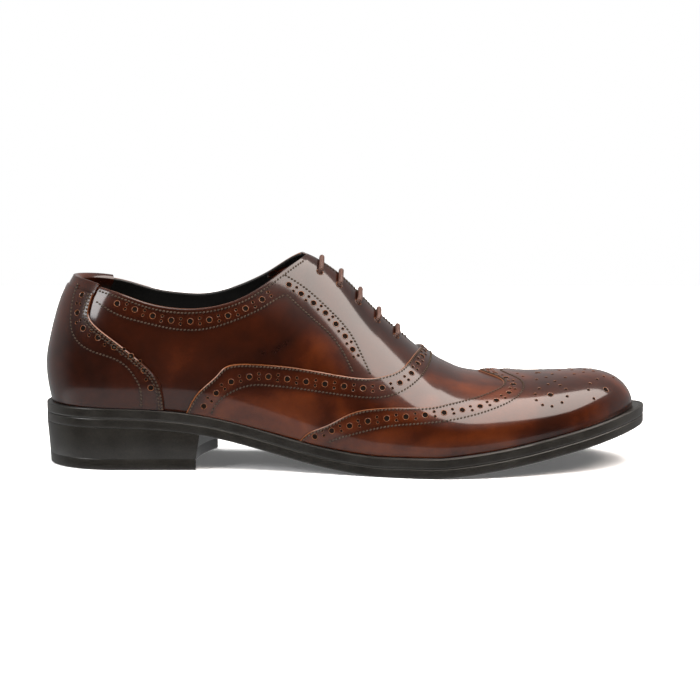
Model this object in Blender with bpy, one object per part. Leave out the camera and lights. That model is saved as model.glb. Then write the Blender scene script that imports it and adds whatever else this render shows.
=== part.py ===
# A right-foot wingtip oxford brogue, standing empty on its heel and the ball of its sole.
# Metres, +X towards the toe, -Y the outer (lateral) side of the foot, +Z up.
# The origin lies on the floor under the middle of the heel.

import math

import bmesh
import bpy
import numpy as np

# Sizes of the sole unit
SOLE_LENGTH = 0.305
BALL_WIDTH = 0.1035
HEEL_HEIGHT = 0.0215
HEEL_LENGTH = 0.0835
TOE_SPRING = 0.0200
OUTSOLE_THICK = 0.0047
WELT_THICK = 0.0048
TOP_LIFT_THICK = 0.0054
BREAST_DIP = 0.0050
BREAST_SLANT = 0.0058
BREAST_LEAN = 0.0019
HEEL_TAPER = 0.0012
EDGE_ROUND = 0.0007
ORIGIN_FROM_BACK = 0.042

# Sizes of the upper
BACK_HEIGHT = 0.0650
INSTEP_HEIGHT = 0.0888
UPPER_WALL = 0.0020
WELT_MARGIN = 0.0046
HEEL_MARGIN = 0.0024
TOE_MARGIN = 0.0057
UPPER_BACK_SET = 0.0018
THROAT_GAP = 0.0030
CAP_THICK = 0.0018
VAMP_THICK = 0.0011
COUNTER_THICK = 0.0011
TAB_THICK = 0.0011
TAB_DEPTH = 0.0052
INSOLE_THICK = 0.0026
INSOLE_END = 0.006
TONGUE_THICK = 0.0020
TONGUE_DROP = 0.0085
LACE_DIAMETER = 0.0023
EYELET_RADIUS = 0.0018
EYELET_INSET = 0.0122
EYELET_COUNT = 5

# Clearance between pieces that touch, and between the upper and a panel that lies on it
GAP = 0.0003
PANEL_GAP = 0.0005

# Girth shares of the mesh lines, close together where the wall turns in to the feather line
UPPER_LINES = (0.0, 0.16, 0.29, 0.41, 0.53, 0.64, 0.74, 0.83, 0.91, 0.96, 1.0)
PANEL_LINES = (0.0, 0.1, 0.2, 0.28, 0.35, 0.42, 0.48, 0.54, 0.6, 0.66, 0.72, 0.78, 0.84,
               0.89, 0.93, 0.965, 1.0)

# Ways down the heel counter where its mesh lines lie, close together where its edge sweeps
COUNTER_LINES = (0.0, 0.08, 0.16, 0.22, 0.27, 0.32, 0.37, 0.43, 0.5, 0.6, 0.7, 0.8, 0.9, 1.0)

# How fine the faceted solids are
LENGTH_STEPS = 42
PLATE_STEPS = 32
LACE_SIDES = 6
STATION_SPACE = 0.0022

# Where the throat and collar meet, as shares of the sole length
THROAT_TOP = 0.456
THROAT_END = 0.612
TONGUE_TOP = 0.380
TONGUE_END = 0.632
FACING_CORNER = 0.028
FIRST_EYELET = 0.4590
LAST_EYELET = 0.5850

# Height of the outsole's underside: rear rows are shares of HEEL_HEIGHT, front rows of TOE_SPRING
BOTTOM_REAR = [
    # station, share of heel height
    (0.000, 1.000),
    (0.130, 0.985),
    (0.272, 0.810),
    (0.377, 0.450),
    (0.459, 0.172),
    (0.535, 0.018),
    (0.600, -0.030),
]
BOTTOM_FRONT = [
    # station, share of toe spring
    (0.600, -0.033),
    (0.655, 0.005),
    (0.710, 0.095),
    (0.803, 0.325),
    (0.902, 0.650),
    (1.000, 1.000),
]

# Half widths of the sole before its ends are rounded, as shares of BALL_WIDTH
SOLE_PLAN = [
    # station, lateral, medial
    (0.000, 0.300, 0.298),
    (0.131, 0.314, 0.308),
    (0.275, 0.308, 0.282),
    (0.377, 0.326, 0.246),
    (0.459, 0.382, 0.272),
    (0.541, 0.446, 0.352),
    (0.623, 0.497, 0.447),
    (0.695, 0.503, 0.491),
    (0.780, 0.460, 0.482),
    (0.862, 0.385, 0.424),
    (0.935, 0.305, 0.345),
    (1.000, 0.235, 0.262),
]

# Ridge of the instep and vamp above the feather line, as shares of INSTEP_HEIGHT
RIDGE = [
    # station, height
    (0.000, 0.880),
    (0.148, 0.930),
    (0.279, 0.980),
    (0.377, 1.018),
    (0.429, 1.022),
    (0.465, 0.990),
    (0.502, 0.911),
    (0.541, 0.786),
    (0.580, 0.660),
    (0.623, 0.538),
    (0.666, 0.433),
    (0.705, 0.368),
    (0.754, 0.332),
    (0.803, 0.298),
    (0.859, 0.263),
    (0.902, 0.238),
    (1.000, 0.208),
]

# Shape of the cross-sections between feather line and ridge
SECTIONS = [
    # station, bulge lateral, bulge medial (shares of BALL_WIDTH), height of the widest point
    # (share of INSTEP_HEIGHT), fullness of the wall, fullness of the top, ridge offset (BALL_WIDTH)
    (0.000, 0.020, 0.020, 0.190, 0.60, 0.55, 0.000),
    (0.148, 0.020, 0.020, 0.200, 0.60, 0.55, 0.000),
    (0.279, 0.026, 0.040, 0.210, 0.58, 0.53, 0.003),
    (0.377, 0.024, 0.060, 0.200, 0.52, 0.46, 0.010),
    (0.459, 0.018, 0.060, 0.170, 0.44, 0.38, 0.018),
    (0.541, 0.012, 0.040, 0.130, 0.42, 0.36, 0.028),
    (0.623, 0.010, 0.020, 0.095, 0.46, 0.42, 0.036),
    (0.705, 0.008, 0.012, 0.076, 0.50, 0.48, 0.036),
    (0.803, 0.006, 0.008, 0.066, 0.54, 0.54, 0.028),
    (0.902, 0.004, 0.005, 0.054, 0.58, 0.58, 0.014),
    (1.000, 0.002, 0.002, 0.040, 0.60, 0.60, 0.000),
]

# Lean of the back seam: how far in front of the rearmost bulge it lies
BACK_CURVE = [
    # height above the seat, set forward (both shares of BACK_HEIGHT)
    (-0.100, 0.052),
    (0.000, 0.036),
    (0.065, 0.024),
    (0.140, 0.011),
    (0.230, 0.002),
    (0.300, 0.001),
    (0.380, 0.008),
    (0.460, 0.024),
    (0.615, 0.062),
    (0.755, 0.104),
    (0.860, 0.148),
    (0.950, 0.200),
    (1.000, 0.228),
    (1.250, 0.360),
]

# Height of the collar's edge above the heel seat, as shares of BACK_HEIGHT
COLLAR = [
    # station, lateral, medial
    (0.000, 0.965, 0.965),
    (0.035, 0.940, 0.948),
    (0.075, 0.905, 0.920),
    (0.120, 0.860, 0.875),
    (0.165, 0.805, 0.828),
    (0.215, 0.764, 0.800),
    (0.258, 0.756, 0.796),
    (0.300, 0.783, 0.838),
    (0.340, 0.850, 0.915),
    (0.375, 0.950, 1.005),
    (0.412, 1.072, 1.120),
    (0.446, 1.165, 1.190),
]

# Seams on the surface: station along the sole length against the share of the half girth.
# The girth share is 0 on the ridge and 1 on the feather line.
WING_EDGE = [
    (1.000, 0.428),
    (0.930, 0.441),
    (0.840, 0.465),
    (0.755, 0.493),
    (0.680, 0.532),
    (0.635, 0.568),
    (0.580, 0.618),
    (0.500, 0.662),
    (0.416, 0.702),
    (0.340, 0.738),
    (0.270, 0.757),
    (0.190, 0.757),
    (0.100, 0.740),
    (0.000, 0.722),
]
VAMP_EDGE = [
    (1.000, 0.242),
    (0.900, 0.256),
    (0.800, 0.277),
    (0.740, 0.298),
    (0.700, 0.324),
    (0.678, 0.360),
    (0.641, 0.418),
    (0.603, 0.474),
    (0.560, 0.520),
    (0.500, 0.556),
    (0.430, 0.582),
    (0.340, 0.599),
    (0.240, 0.610),
    (0.100, 0.621),
    (0.000, 0.626),
]
COUNTER_EDGE = [
    # share of the way from the collar to the feather line, station
    (0.000, 0.0625),
    (0.120, 0.0645),
    (0.200, 0.0720),
    (0.270, 0.1000),
    (0.330, 0.1350),
    (0.400, 0.1680),
    (0.500, 0.1920),
    (0.620, 0.2010),
    (0.800, 0.2050),
    (1.000, 0.2060),
]

# Colours read from the photograph, and the finish of each material
MATERIALS = {
    # name: colour, roughness
    "brown_leather": ((0.135, 0.036, 0.012), 0.22),
    "cap_leather": ((0.160, 0.045, 0.014), 0.20),
    "black_leather": ((0.012, 0.011, 0.010), 0.45),
    "black_sole": ((0.020, 0.019, 0.018), 0.38),
    "brown_cord": ((0.130, 0.060, 0.042), 0.60),
}


def clear_scene():
    for obj in list(bpy.data.objects):
        bpy.data.objects.remove(obj, do_unlink=True)


def material(name):
    found = bpy.data.materials.get(name)
    if found:
        return found
    colour, roughness = MATERIALS[name]
    made = bpy.data.materials.new(name)
    made.use_nodes = True
    shader = made.node_tree.nodes["Principled BSDF"]
    shader.inputs["Base Color"].default_value = (*colour, 1.0)
    shader.inputs["Roughness"].default_value = roughness
    shader.inputs["Metallic"].default_value = 0.0
    return made


def bend_matrix(knots):
    # Linear map from a natural cubic spline's values to its second derivatives.
    count = len(knots)
    step = np.diff(knots)
    left = np.eye(count)
    right = np.zeros((count, count))
    for k in range(1, count - 1):
        left[k, k - 1 : k + 2] = step[k - 1], 2 * (step[k - 1] + step[k]), step[k]
        right[k, k - 1] = 6 / step[k - 1]
        right[k, k] = -6 / step[k - 1] - 6 / step[k]
        right[k, k + 1] = 6 / step[k]
    return np.linalg.solve(left, right)


def spline_weights(knots, at):
    # Interval of each place, and the four factors of the cubic there.
    k = np.clip(np.searchsorted(knots, at, side="right") - 1, 0, len(knots) - 2)
    step = knots[k + 1] - knots[k]
    b = (at - knots[k]) / step
    a = 1 - b
    return k, a, b, (a**3 - a) * step**2 / 6, (b**3 - b) * step**2 / 6


class Track:
    # A natural cubic spline through a table's rows; column picks the value.
    def __init__(self, rows, column=1, scale=1.0):
        self.knots = np.array([row[0] for row in rows], float)
        self.values = np.array([row[column] for row in rows], float) * scale
        self.bends = bend_matrix(self.knots) @ self.values

    def __call__(self, at):
        at = np.clip(np.asarray(at, float), self.knots[0], self.knots[-1])
        k, a, b, c, d = spline_weights(self.knots, at)
        v, m = self.values, self.bends
        return a * v[k] + b * v[k + 1] + c * m[k] + d * m[k + 1]


def rounding(share, power, root):
    # Grows from 0 with a round end to 1, and has no kink where it gets there.
    t = np.clip(share, 0.0, 1.0)
    return np.power(1 - np.power(1 - t, power), 1 / root)


bottom_rear = Track(BOTTOM_REAR, scale=HEEL_HEIGHT)
bottom_front = Track(BOTTOM_FRONT, scale=TOE_SPRING)
plan_lateral = Track(SOLE_PLAN, 1, BALL_WIDTH)
plan_medial = Track(SOLE_PLAN, 2, BALL_WIDTH)
ridge_height = Track(RIDGE, scale=INSTEP_HEIGHT)
bulge_lateral = Track(SECTIONS, 1, BALL_WIDTH)
bulge_medial = Track(SECTIONS, 2, BALL_WIDTH)
widest_height = Track(SECTIONS, 3, INSTEP_HEIGHT)
wall_fullness = Track(SECTIONS, 4)
top_fullness = Track(SECTIONS, 5)
ridge_offset = Track(SECTIONS, 6, BALL_WIDTH)
back_curve = Track(BACK_CURVE, scale=BACK_HEIGHT)
collar_lateral = Track(COLLAR, 1, BACK_HEIGHT)
collar_medial = Track(COLLAR, 2, BACK_HEIGHT)
wing_edge = Track(WING_EDGE[::-1])
vamp_edge = Track(VAMP_EDGE[::-1])
counter_edge = Track(COUNTER_EDGE)

# Reach of the round ends
SOLE_HEEL_REACH = 0.040
SOLE_TOE_REACH = 0.036
UPPER_HEEL_REACH = 0.038
UPPER_TOE_REACH = 0.034
TOE_DOME_REACH = 0.025
BACK_LEAN_REACH = 0.085

UPPER_LENGTH = SOLE_LENGTH - TOE_MARGIN - CAP_THICK - PANEL_GAP
SOLE_STACK = OUTSOLE_THICK + GAP + WELT_THICK + GAP
SEAT_HEIGHT = HEEL_HEIGHT + SOLE_STACK
GIRTH_KNOTS = np.linspace(-1.0, 1.0, 19)
GIRTH_BENDS = bend_matrix(GIRTH_KNOTS)


def sole_bottom(x):
    # Height of the outsole's underside; flat on the floor under the ball.
    share = np.asarray(x, float) / SOLE_LENGTH
    height = np.where(share < BOTTOM_FRONT[0][0], bottom_rear(share), bottom_front(share))
    return np.maximum(height, 0.0)


def feather_height(x):
    return sole_bottom(x) + SOLE_STACK


def sole_half_width(x, side):
    share = np.asarray(x, float) / SOLE_LENGTH
    plan = plan_lateral(share) if side < 0 else plan_medial(share)
    heel = rounding(np.asarray(x) / SOLE_HEEL_REACH, 2.4, 2.1)
    toe = rounding((SOLE_LENGTH - np.asarray(x)) / SOLE_TOE_REACH, 2.2, 2.0)
    return plan * heel * toe


def bezier(a, b, c, d, t):
    s = 1 - t
    return s**3 * a + 3 * s**2 * t * b + 3 * s * t**2 * c + t**3 * d


def half_section(p, side):
    # Ten points of each cross-section from the feather line to the ridge, as (y, z).
    share = p / SOLE_LENGTH
    plan = plan_lateral(share) if side < 0 else plan_medial(share)
    bulge = bulge_lateral(share) if side < 0 else bulge_medial(share)
    forward = np.clip((share - 0.30) / 0.25, 0, 1)
    margin = HEEL_MARGIN + (WELT_MARGIN - HEEL_MARGIN) * forward * forward * (3 - 2 * forward)
    heel = rounding(p / UPPER_HEEL_REACH, 2.4, 2.1)
    toe = rounding((UPPER_LENGTH - p) / UPPER_TOE_REACH, 2.2, 2.0)
    dome = rounding((UPPER_LENGTH - p) / TOE_DOME_REACH, 2.3, 2.0)
    foot = (plan - margin) * heel * toe
    wide = foot + bulge * heel * toe
    low = widest_height(share) * dome
    top = ridge_height(share) * dome
    middle = ridge_offset(share) * toe * side
    wall, roof = wall_fullness(share), top_fullness(share)
    points = []
    for t in (0.0, 0.5):
        y = bezier(foot, foot + (wide - foot) * 0.6, wide, wide, t)
        z = bezier(0 * low, low * 0.35, low * 0.65, low, t)
        points.append((y, z))
    for t in np.linspace(0.0, 1.0, 8):
        y = bezier(wide, wide, middle + (wide - middle) * roof, middle, t)
        z = bezier(low, low + (top - low) * wall, top, top, t)
        points.append((y, z))
    ys = np.stack([point[0] for point in points], axis=-1) * side
    zs = np.stack([point[1] for point in points], axis=-1)
    return np.stack([ys, zs], axis=-1)


def surface(p, q):
    # The upper's outer face. p runs along the sole from the back seam, q across the girth:
    # -1 is the lateral feather line, 0 the ridge, 1 the medial feather line.
    p = np.atleast_1d(np.asarray(p, float))
    q = np.atleast_1d(np.asarray(q, float))
    p, q = np.broadcast_arrays(p, q)
    shape = p.shape
    p, q = p.ravel(), q.ravel()
    lateral = half_section(p, -1)
    medial = half_section(p, 1)
    net = np.concatenate([lateral, medial[:, -2::-1]], axis=1)
    bends = np.einsum("ij,njk->nik", GIRTH_BENDS, net)
    k, a, b, c, d = spline_weights(GIRTH_KNOTS, np.clip(q, -1, 1))
    n = np.arange(len(p))
    yz = (
        a[:, None] * net[n, k]
        + b[:, None] * net[n, k + 1]
        + c[:, None] * bends[n, k]
        + d[:, None] * bends[n, k + 1]
    )
    height = yz[:, 1]
    fade = np.clip(p / BACK_LEAN_REACH, 0, 1)
    fade = 1 - fade * fade * (3 - 2 * fade)
    lean = back_curve((height + feather_height(p) - SEAT_HEIGHT) / BACK_HEIGHT)
    x = p + (lean + UPPER_BACK_SET) * fade
    return np.stack([x, yz[:, 0], height + feather_height(p)], axis=-1).reshape(*shape, 3)


def normals(p, q):
    # Unit normals of the surface, by differences that pass smoothly round the back seam.
    p, q = np.broadcast_arrays(np.asarray(p, float), np.asarray(q, float))
    turn = np.arccos(np.clip(1 - 2 * p / UPPER_LENGTH, -1, 1))
    small = 2e-3
    turn = np.minimum(turn, math.pi - 2 * small)

    def moved(delta):
        angle = turn + delta
        flip = np.where(angle < 0, -1.0, 1.0)
        return surface(UPPER_LENGTH * (1 - np.cos(angle)) / 2, q * flip)

    along = moved(small) - moved(-small)
    place = UPPER_LENGTH * (1 - np.cos(turn)) / 2
    across = surface(place, np.clip(q + small, -1, 1)) - surface(place, np.clip(q - small, -1, 1))
    normal = np.cross(along, across)
    return normal / np.linalg.norm(normal, axis=-1, keepdims=True)


def skin(p, q, out):
    # A point above (out > 0) or under the upper's outer face.
    p, q = np.broadcast_arrays(np.asarray(p, float), np.asarray(q, float))
    base = surface(p, q)
    place = base + normals(p, q) * np.asarray(out, float)[..., None]
    floor = feather_height(np.clip(place[..., 0], 0, SOLE_LENGTH))
    on_edge = np.abs(q) > 0.999
    place[..., 2] = np.where(on_edge, floor, np.maximum(place[..., 2], floor))
    return place


def girth_at_height(p, side, height):
    # The girth share where the surface reaches a height.
    shares = np.linspace(1.0, 0.0, 121)
    grid = surface(np.repeat(p[:, None], len(shares), 1), side * shares[None, :])[..., 2]
    found = [np.interp(h, np.maximum.accumulate(row), shares) for h, row in zip(height, grid)]
    return np.array(found)


def girth_from_ridge(p, side, distance):
    # The girth share at a distance from the ridge, measured over the surface.
    shares = np.linspace(0.0, 1.0, 121)
    p = np.atleast_1d(np.asarray(p, float))
    grid = surface(np.repeat(p[:, None], len(shares), 1), side * shares[None, :])
    step = np.linalg.norm(np.diff(grid, axis=1), axis=-1)
    length = np.concatenate([np.zeros((len(p), 1)), np.cumsum(step, axis=1)], axis=1)
    distance = np.broadcast_to(distance, p.shape)
    return np.array([np.interp(s, row, shares) for s, row in zip(distance, length)])


def top_edge(p, side):
    # Girth share of the upper's top edge: the collar, then the throat slit, then the ridge.
    p = np.atleast_1d(np.asarray(p, float))
    share = p / SOLE_LENGTH
    collar = collar_lateral(share) if side < 0 else collar_medial(share)
    on_collar = girth_at_height(p, side, SEAT_HEIGHT + collar)
    slit = np.clip((THROAT_END - share) / (THROAT_END - THROAT_TOP), 0, 1)
    on_slit = girth_from_ridge(p, side, THROAT_GAP / 2 * np.sqrt(slit))
    corner = np.clip((THROAT_TOP - share) / FACING_CORNER, 0, 1)
    blend = np.power(corner, 0.6)
    return np.where(share >= THROAT_TOP, on_slit, on_slit + (on_collar - on_slit) * blend)


def stations(count, extra=()):
    # Stations close together at both ends, with some exact ones added.
    turn = np.linspace(0, math.pi, count + 1)
    spread = UPPER_LENGTH * (1 - np.cos(turn)) / 2
    spread = [s for s in spread if all(abs(s - e) > STATION_SPACE for e in extra)]
    return np.array(sorted([*spread, *extra]))


def add_object(name, points, faces, look):
    # Welds points that coincide, drops the faces that vanish, and makes the object.
    keys = np.round(np.asarray(points) / 2e-6).astype(np.int64)
    _, first, index = np.unique(keys, axis=0, return_index=True, return_inverse=True)
    index = index.reshape(-1)
    kept = []
    for face in faces:
        ring = [int(index[v]) for v in face]
        ring = [v for v, before in zip(ring, [ring[-1], *ring[:-1]]) if v != before]
        if len(set(ring)) == len(ring) and len(ring) > 2:
            kept.append(ring)
    mesh = bpy.data.meshes.new(name)
    mesh.from_pydata(np.asarray(points)[first].tolist(), [], kept)
    shape = bmesh.new()
    shape.from_mesh(mesh)
    bmesh.ops.recalc_face_normals(shape, faces=shape.faces)
    shape.to_mesh(mesh)
    shape.free()
    mesh.shade_smooth()
    mesh.set_sharp_from_angle(angle=math.radians(35))
    mesh.materials.append(material(look))
    obj = bpy.data.objects.new(name, mesh)
    bpy.context.scene.collection.objects.link(obj)
    return obj


def grid_faces(rows, columns, start=0):
    return [
        (start + r * columns + c, start + r * columns + c + 1,
         start + (r + 1) * columns + c + 1, start + (r + 1) * columns + c)
        for r in range(rows - 1)
        for c in range(columns - 1)
    ]


def weld_index(points):
    keys = np.round(np.asarray(points) / 2e-6).astype(np.int64)
    _, index = np.unique(keys, axis=0, return_inverse=True)
    return index.reshape(-1)


def sheet_solid(name, outer, inner, faces, look):
    # Closes the space between two sheets that share their faces, with walls along open edges.
    outer, inner = np.asarray(outer), np.asarray(inner)
    index = weld_index(outer)
    used = {}
    for face in faces:
        ring = [int(index[v]) for v in face]
        for v, w, a, b in zip(face, [*face[1:], face[0]], ring, [*ring[1:], ring[0]]):
            if a != b:
                used.setdefault((min(a, b), max(a, b)), []).append((v, w))
    count = len(outer)
    first_of = {}
    for v, key in enumerate(index):
        first_of.setdefault(int(key), v)
    inner = np.array([inner[first_of[int(key)]] for key in index])
    solid = [tuple(face) for face in faces]
    solid += [tuple(count + v for v in reversed(face)) for face in faces]
    for pairs in used.values():
        if len(pairs) == 1:
            v, w = pairs[0]
            solid.append((w, v, count + v, count + w))
    points = np.concatenate([outer, inner])
    points[:, 0] -= ORIGIN_FROM_BACK
    return add_object(name, points, solid, look)


def plate_solid(name, stations_x, columns, levels, look):
    # A plate on the sole's plan: levels list (place function) from its top face to its underside.
    rows, cols = len(stations_x), len(columns)
    points, faces = [], []
    for place in levels:
        points.extend(place(x, share) for x in stations_x for share in columns)
    size = rows * cols
    faces += grid_faces(rows, cols)
    faces += [tuple(reversed(face)) for face in grid_faces(rows, cols, (len(levels) - 1) * size)]
    ring = [r * cols for r in range(rows)]
    ring += [(rows - 1) * cols + c for c in range(1, cols)]
    ring += [r * cols + cols - 1 for r in range(rows - 2, -1, -1)]
    ring += [c for c in range(cols - 2, 0, -1)]
    for level in range(len(levels) - 1):
        for v, w in zip(ring, [*ring[1:], ring[0]]):
            a, b = level * size, (level + 1) * size
            faces.append((a + v, a + w, b + w, b + v))
    points = np.array(points)
    points[:, 0] -= ORIGIN_FROM_BACK
    return add_object(name, points, faces, look)


def sole_place(height, inset=0.0, end=None, taper=0.0):
    # Place function of a plate level: the sole's plan drawn in by inset, at height(x).
    def place(x, share):
        side = -1 if share < 0 else 1
        shrink = 1 - inset / (SOLE_LENGTH / 2)
        along = SOLE_LENGTH / 2 + (x - SOLE_LENGTH / 2) * shrink if end is None else x
        half = float(sole_half_width(x, side))
        half *= 1 - inset / (BALL_WIDTH / 2)
        if taper:
            half *= 1 - taper / (BALL_WIDTH / 3)
        if end is not None:
            back = inset + taper
            along = back + (end - back - inset) * x / HEEL_LENGTH
            curve = BREAST_SLANT / 2 * share - BREAST_DIP * (1 - share * share)
            along += curve * (x / HEEL_LENGTH) ** 6
        return (along, half * share, float(height(along)))

    return place


def add_sole():
    across = np.array([-1.0, 0.0, 1.0])
    turn = np.linspace(0, math.pi, PLATE_STEPS + 1)
    along = SOLE_LENGTH * (1 - np.cos(turn)) / 2
    top = OUTSOLE_THICK
    levels = [
        sole_place(lambda x: sole_bottom(x) + top, EDGE_ROUND / 2),
        sole_place(lambda x: sole_bottom(x) + top - EDGE_ROUND / 2),
        sole_place(lambda x: sole_bottom(x) + EDGE_ROUND),
        sole_place(lambda x: sole_bottom(x), EDGE_ROUND),
    ]
    plate_solid("outsole", along, across, levels, "black_sole")
    low = OUTSOLE_THICK + GAP
    high = low + WELT_THICK
    levels = [
        sole_place(lambda x: sole_bottom(x) + high, EDGE_ROUND),
        sole_place(lambda x: sole_bottom(x) + high - EDGE_ROUND),
        sole_place(lambda x: sole_bottom(x) + low + EDGE_ROUND / 2),
        sole_place(lambda x: sole_bottom(x) + low, EDGE_ROUND / 2),
    ]
    plate_solid("welt", along, across, levels, "black_sole")


def add_heel():
    turn = np.linspace(0, math.pi / 2, 12)
    along = HEEL_LENGTH * (1 - np.cos(turn))
    across = np.linspace(-1, 1, 7)
    low = TOP_LIFT_THICK + GAP
    foot = HEEL_LENGTH - BREAST_LEAN
    levels = [
        sole_place(lambda x: sole_bottom(x) - GAP, end=HEEL_LENGTH),
        sole_place(lambda x: low, end=foot, taper=HEEL_TAPER),
    ]
    plate_solid("heel_block", along, across, levels, "black_sole")
    levels = [
        sole_place(lambda x: TOP_LIFT_THICK, end=foot, taper=HEEL_TAPER),
        sole_place(lambda x: EDGE_ROUND, end=foot, taper=HEEL_TAPER * 1.3),
        sole_place(lambda x: 0.0, inset=EDGE_ROUND, end=foot, taper=HEEL_TAPER * 1.3),
    ]
    plate_solid("top_lift", along, across, levels, "black_sole")


def eyelet_frames():
    # Each eyelet's centre on the surface and its outward axis.
    frames = []
    for n in range(EYELET_COUNT):
        share = FIRST_EYELET + (LAST_EYELET - FIRST_EYELET) * n / (EYELET_COUNT - 1)
        p = np.array([share * SOLE_LENGTH])
        for side in (-1, 1):
            q = side * girth_from_ridge(p, side, EYELET_INSET)
            frames.append((surface(p, q)[0], normals(p, q)[0]))
    return frames


def eyelet_cutter():
    shape = bmesh.new()
    for centre, axis in eyelet_frames():
        centre = centre - np.array([ORIGIN_FROM_BACK, 0, 0])
        side = np.cross(axis, [0.0, 1.0, 0.0])
        side /= np.linalg.norm(side)
        other = np.cross(axis, side)
        rings = []
        for reach in (-2.2 * UPPER_WALL, 1.2 * UPPER_WALL):
            turn = [2 * math.pi * (k + 0.31) / 12 for k in range(12)]
            rings.append([
                shape.verts.new(centre + axis * reach
                                + EYELET_RADIUS * (side * math.cos(t) + other * math.sin(t)))
                for t in turn
            ])
        for k in range(12):
            a, b = rings[0][k], rings[0][(k + 1) % 12]
            c, d = rings[1][(k + 1) % 12], rings[1][k]
            shape.faces.new((a, b, c, d))
        shape.faces.new(rings[0][::-1])
        shape.faces.new(rings[1])
    bmesh.ops.recalc_face_normals(shape, faces=shape.faces)
    mesh = bpy.data.meshes.new("eyelet_cutter")
    shape.to_mesh(mesh)
    shape.free()
    cutter = bpy.data.objects.new("eyelet_cutter", mesh)
    bpy.context.scene.collection.objects.link(cutter)
    cutter.hide_render = True
    cutter.display_type = "WIRE"
    return cutter


def upper_grid(p, ways):
    # (p, q) of a grid that runs from the top edge to the feather line on both sides.
    lateral, medial = top_edge(p, -1), top_edge(p, 1)
    left = -(lateral[:, None] + (1 - lateral[:, None]) * ways[None, :])
    right = medial[:, None] + (1 - medial[:, None]) * ways[None, :]
    return np.repeat(p[:, None], len(ways), 1), left, right


def add_upper():
    p = stations(LENGTH_STEPS, (THROAT_TOP * SOLE_LENGTH, THROAT_END * SOLE_LENGTH))
    ways = np.array(UPPER_LINES)
    place, left, right = upper_grid(p, ways)
    outer = np.concatenate([skin(place, left, 0 * place).reshape(-1, 3),
                            skin(place, right, 0 * place).reshape(-1, 3)])
    thick = np.full(place.shape, -UPPER_WALL)
    inner = np.concatenate([skin(place, left, thick).reshape(-1, 3),
                            skin(place, right, thick).reshape(-1, 3)])
    rows, cols = place.shape
    faces = grid_faces(rows, cols)
    faces += [tuple(reversed(face)) for face in grid_faces(rows, cols, rows * cols)]
    upper = sheet_solid("upper", outer, inner, faces, "brown_leather")
    cut = upper.modifiers.new("eyelets", "BOOLEAN")
    cut.operation = "DIFFERENCE"
    cut.object = eyelet_cutter()


def add_band(name, q, first, last, steps, thick, look, ease=False):
    # A panel over the upper: at each girth share it runs from station first to station last.
    way = np.linspace(0, 1, steps + 1)
    if ease:
        way = np.sin(way * math.pi / 2)
    place = first[:, None] + (last - first)[:, None] * way[None, :]
    girth = np.repeat(q[:, None], steps + 1, 1)
    outer = skin(place, girth, np.full(place.shape, PANEL_GAP + thick)).reshape(-1, 3)
    inner = skin(place, girth, np.full(place.shape, PANEL_GAP)).reshape(-1, 3)
    faces = grid_faces(len(q), steps + 1)
    return sheet_solid(name, outer, inner, faces, look)


def both_sides():
    half = np.array(PANEL_LINES)
    return np.concatenate([-half[:0:-1], half])


def add_wing_cap():
    q = both_sides()
    first = wing_edge(np.abs(q)) * SOLE_LENGTH
    last = np.full(len(q), UPPER_LENGTH)
    add_band("wing_cap", q, first, last, 17, CAP_THICK, "cap_leather", ease=True)


def add_vamp():
    q = both_sides()
    first = vamp_edge(np.abs(q)) * SOLE_LENGTH
    last = wing_edge(np.abs(q)) * SOLE_LENGTH - 2 * GAP
    add_band("vamp", q, first, last, 8, VAMP_THICK, "brown_leather")


def even_arcs(end, steps):
    # Stations from the back seam to end that are evenly spaced along the heel's curve.
    fine = end * np.linspace(0, 1, 200) ** 2
    line = surface(fine, np.full(200, 0.7))
    length = np.concatenate([[0], np.cumsum(np.linalg.norm(np.diff(line, axis=0), axis=1))])
    return np.interp(np.linspace(0, length[-1], steps + 1), length, fine)


def counter_places(ways, side, depth):
    # Stations and girth shares of the counter, which starts at depth under the collar's edge.
    place = np.stack([even_arcs(end, 11) for end in counter_edge(ways) * SOLE_LENGTH])
    edge = top_edge(place.ravel(), side).reshape(place.shape)
    collar = surface(place, side * edge)[..., 2]
    start = girth_at_height(place.ravel(), side, (collar - depth).ravel()).reshape(place.shape)
    return place, side * (start + (1 - start) * ways[:, None])


def add_counter():
    ways = np.array(COUNTER_LINES)
    depth = TAB_DEPTH + GAP
    outer, inner, faces = [], [], []
    for side in (-1, 1):
        place, girth = counter_places(ways, side, depth)
        faces_here = grid_faces(*place.shape, start=sum(len(part) for part in outer))
        faces += faces_here if side < 0 else [tuple(reversed(face)) for face in faces_here]
        outer.append(skin(place, girth, np.full(place.shape, PANEL_GAP + COUNTER_THICK)).reshape(-1, 3))
        inner.append(skin(place, girth, np.full(place.shape, PANEL_GAP)).reshape(-1, 3))
    sheet_solid("heel_counter", np.concatenate(outer), np.concatenate(inner), faces,
                "brown_leather")


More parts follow.
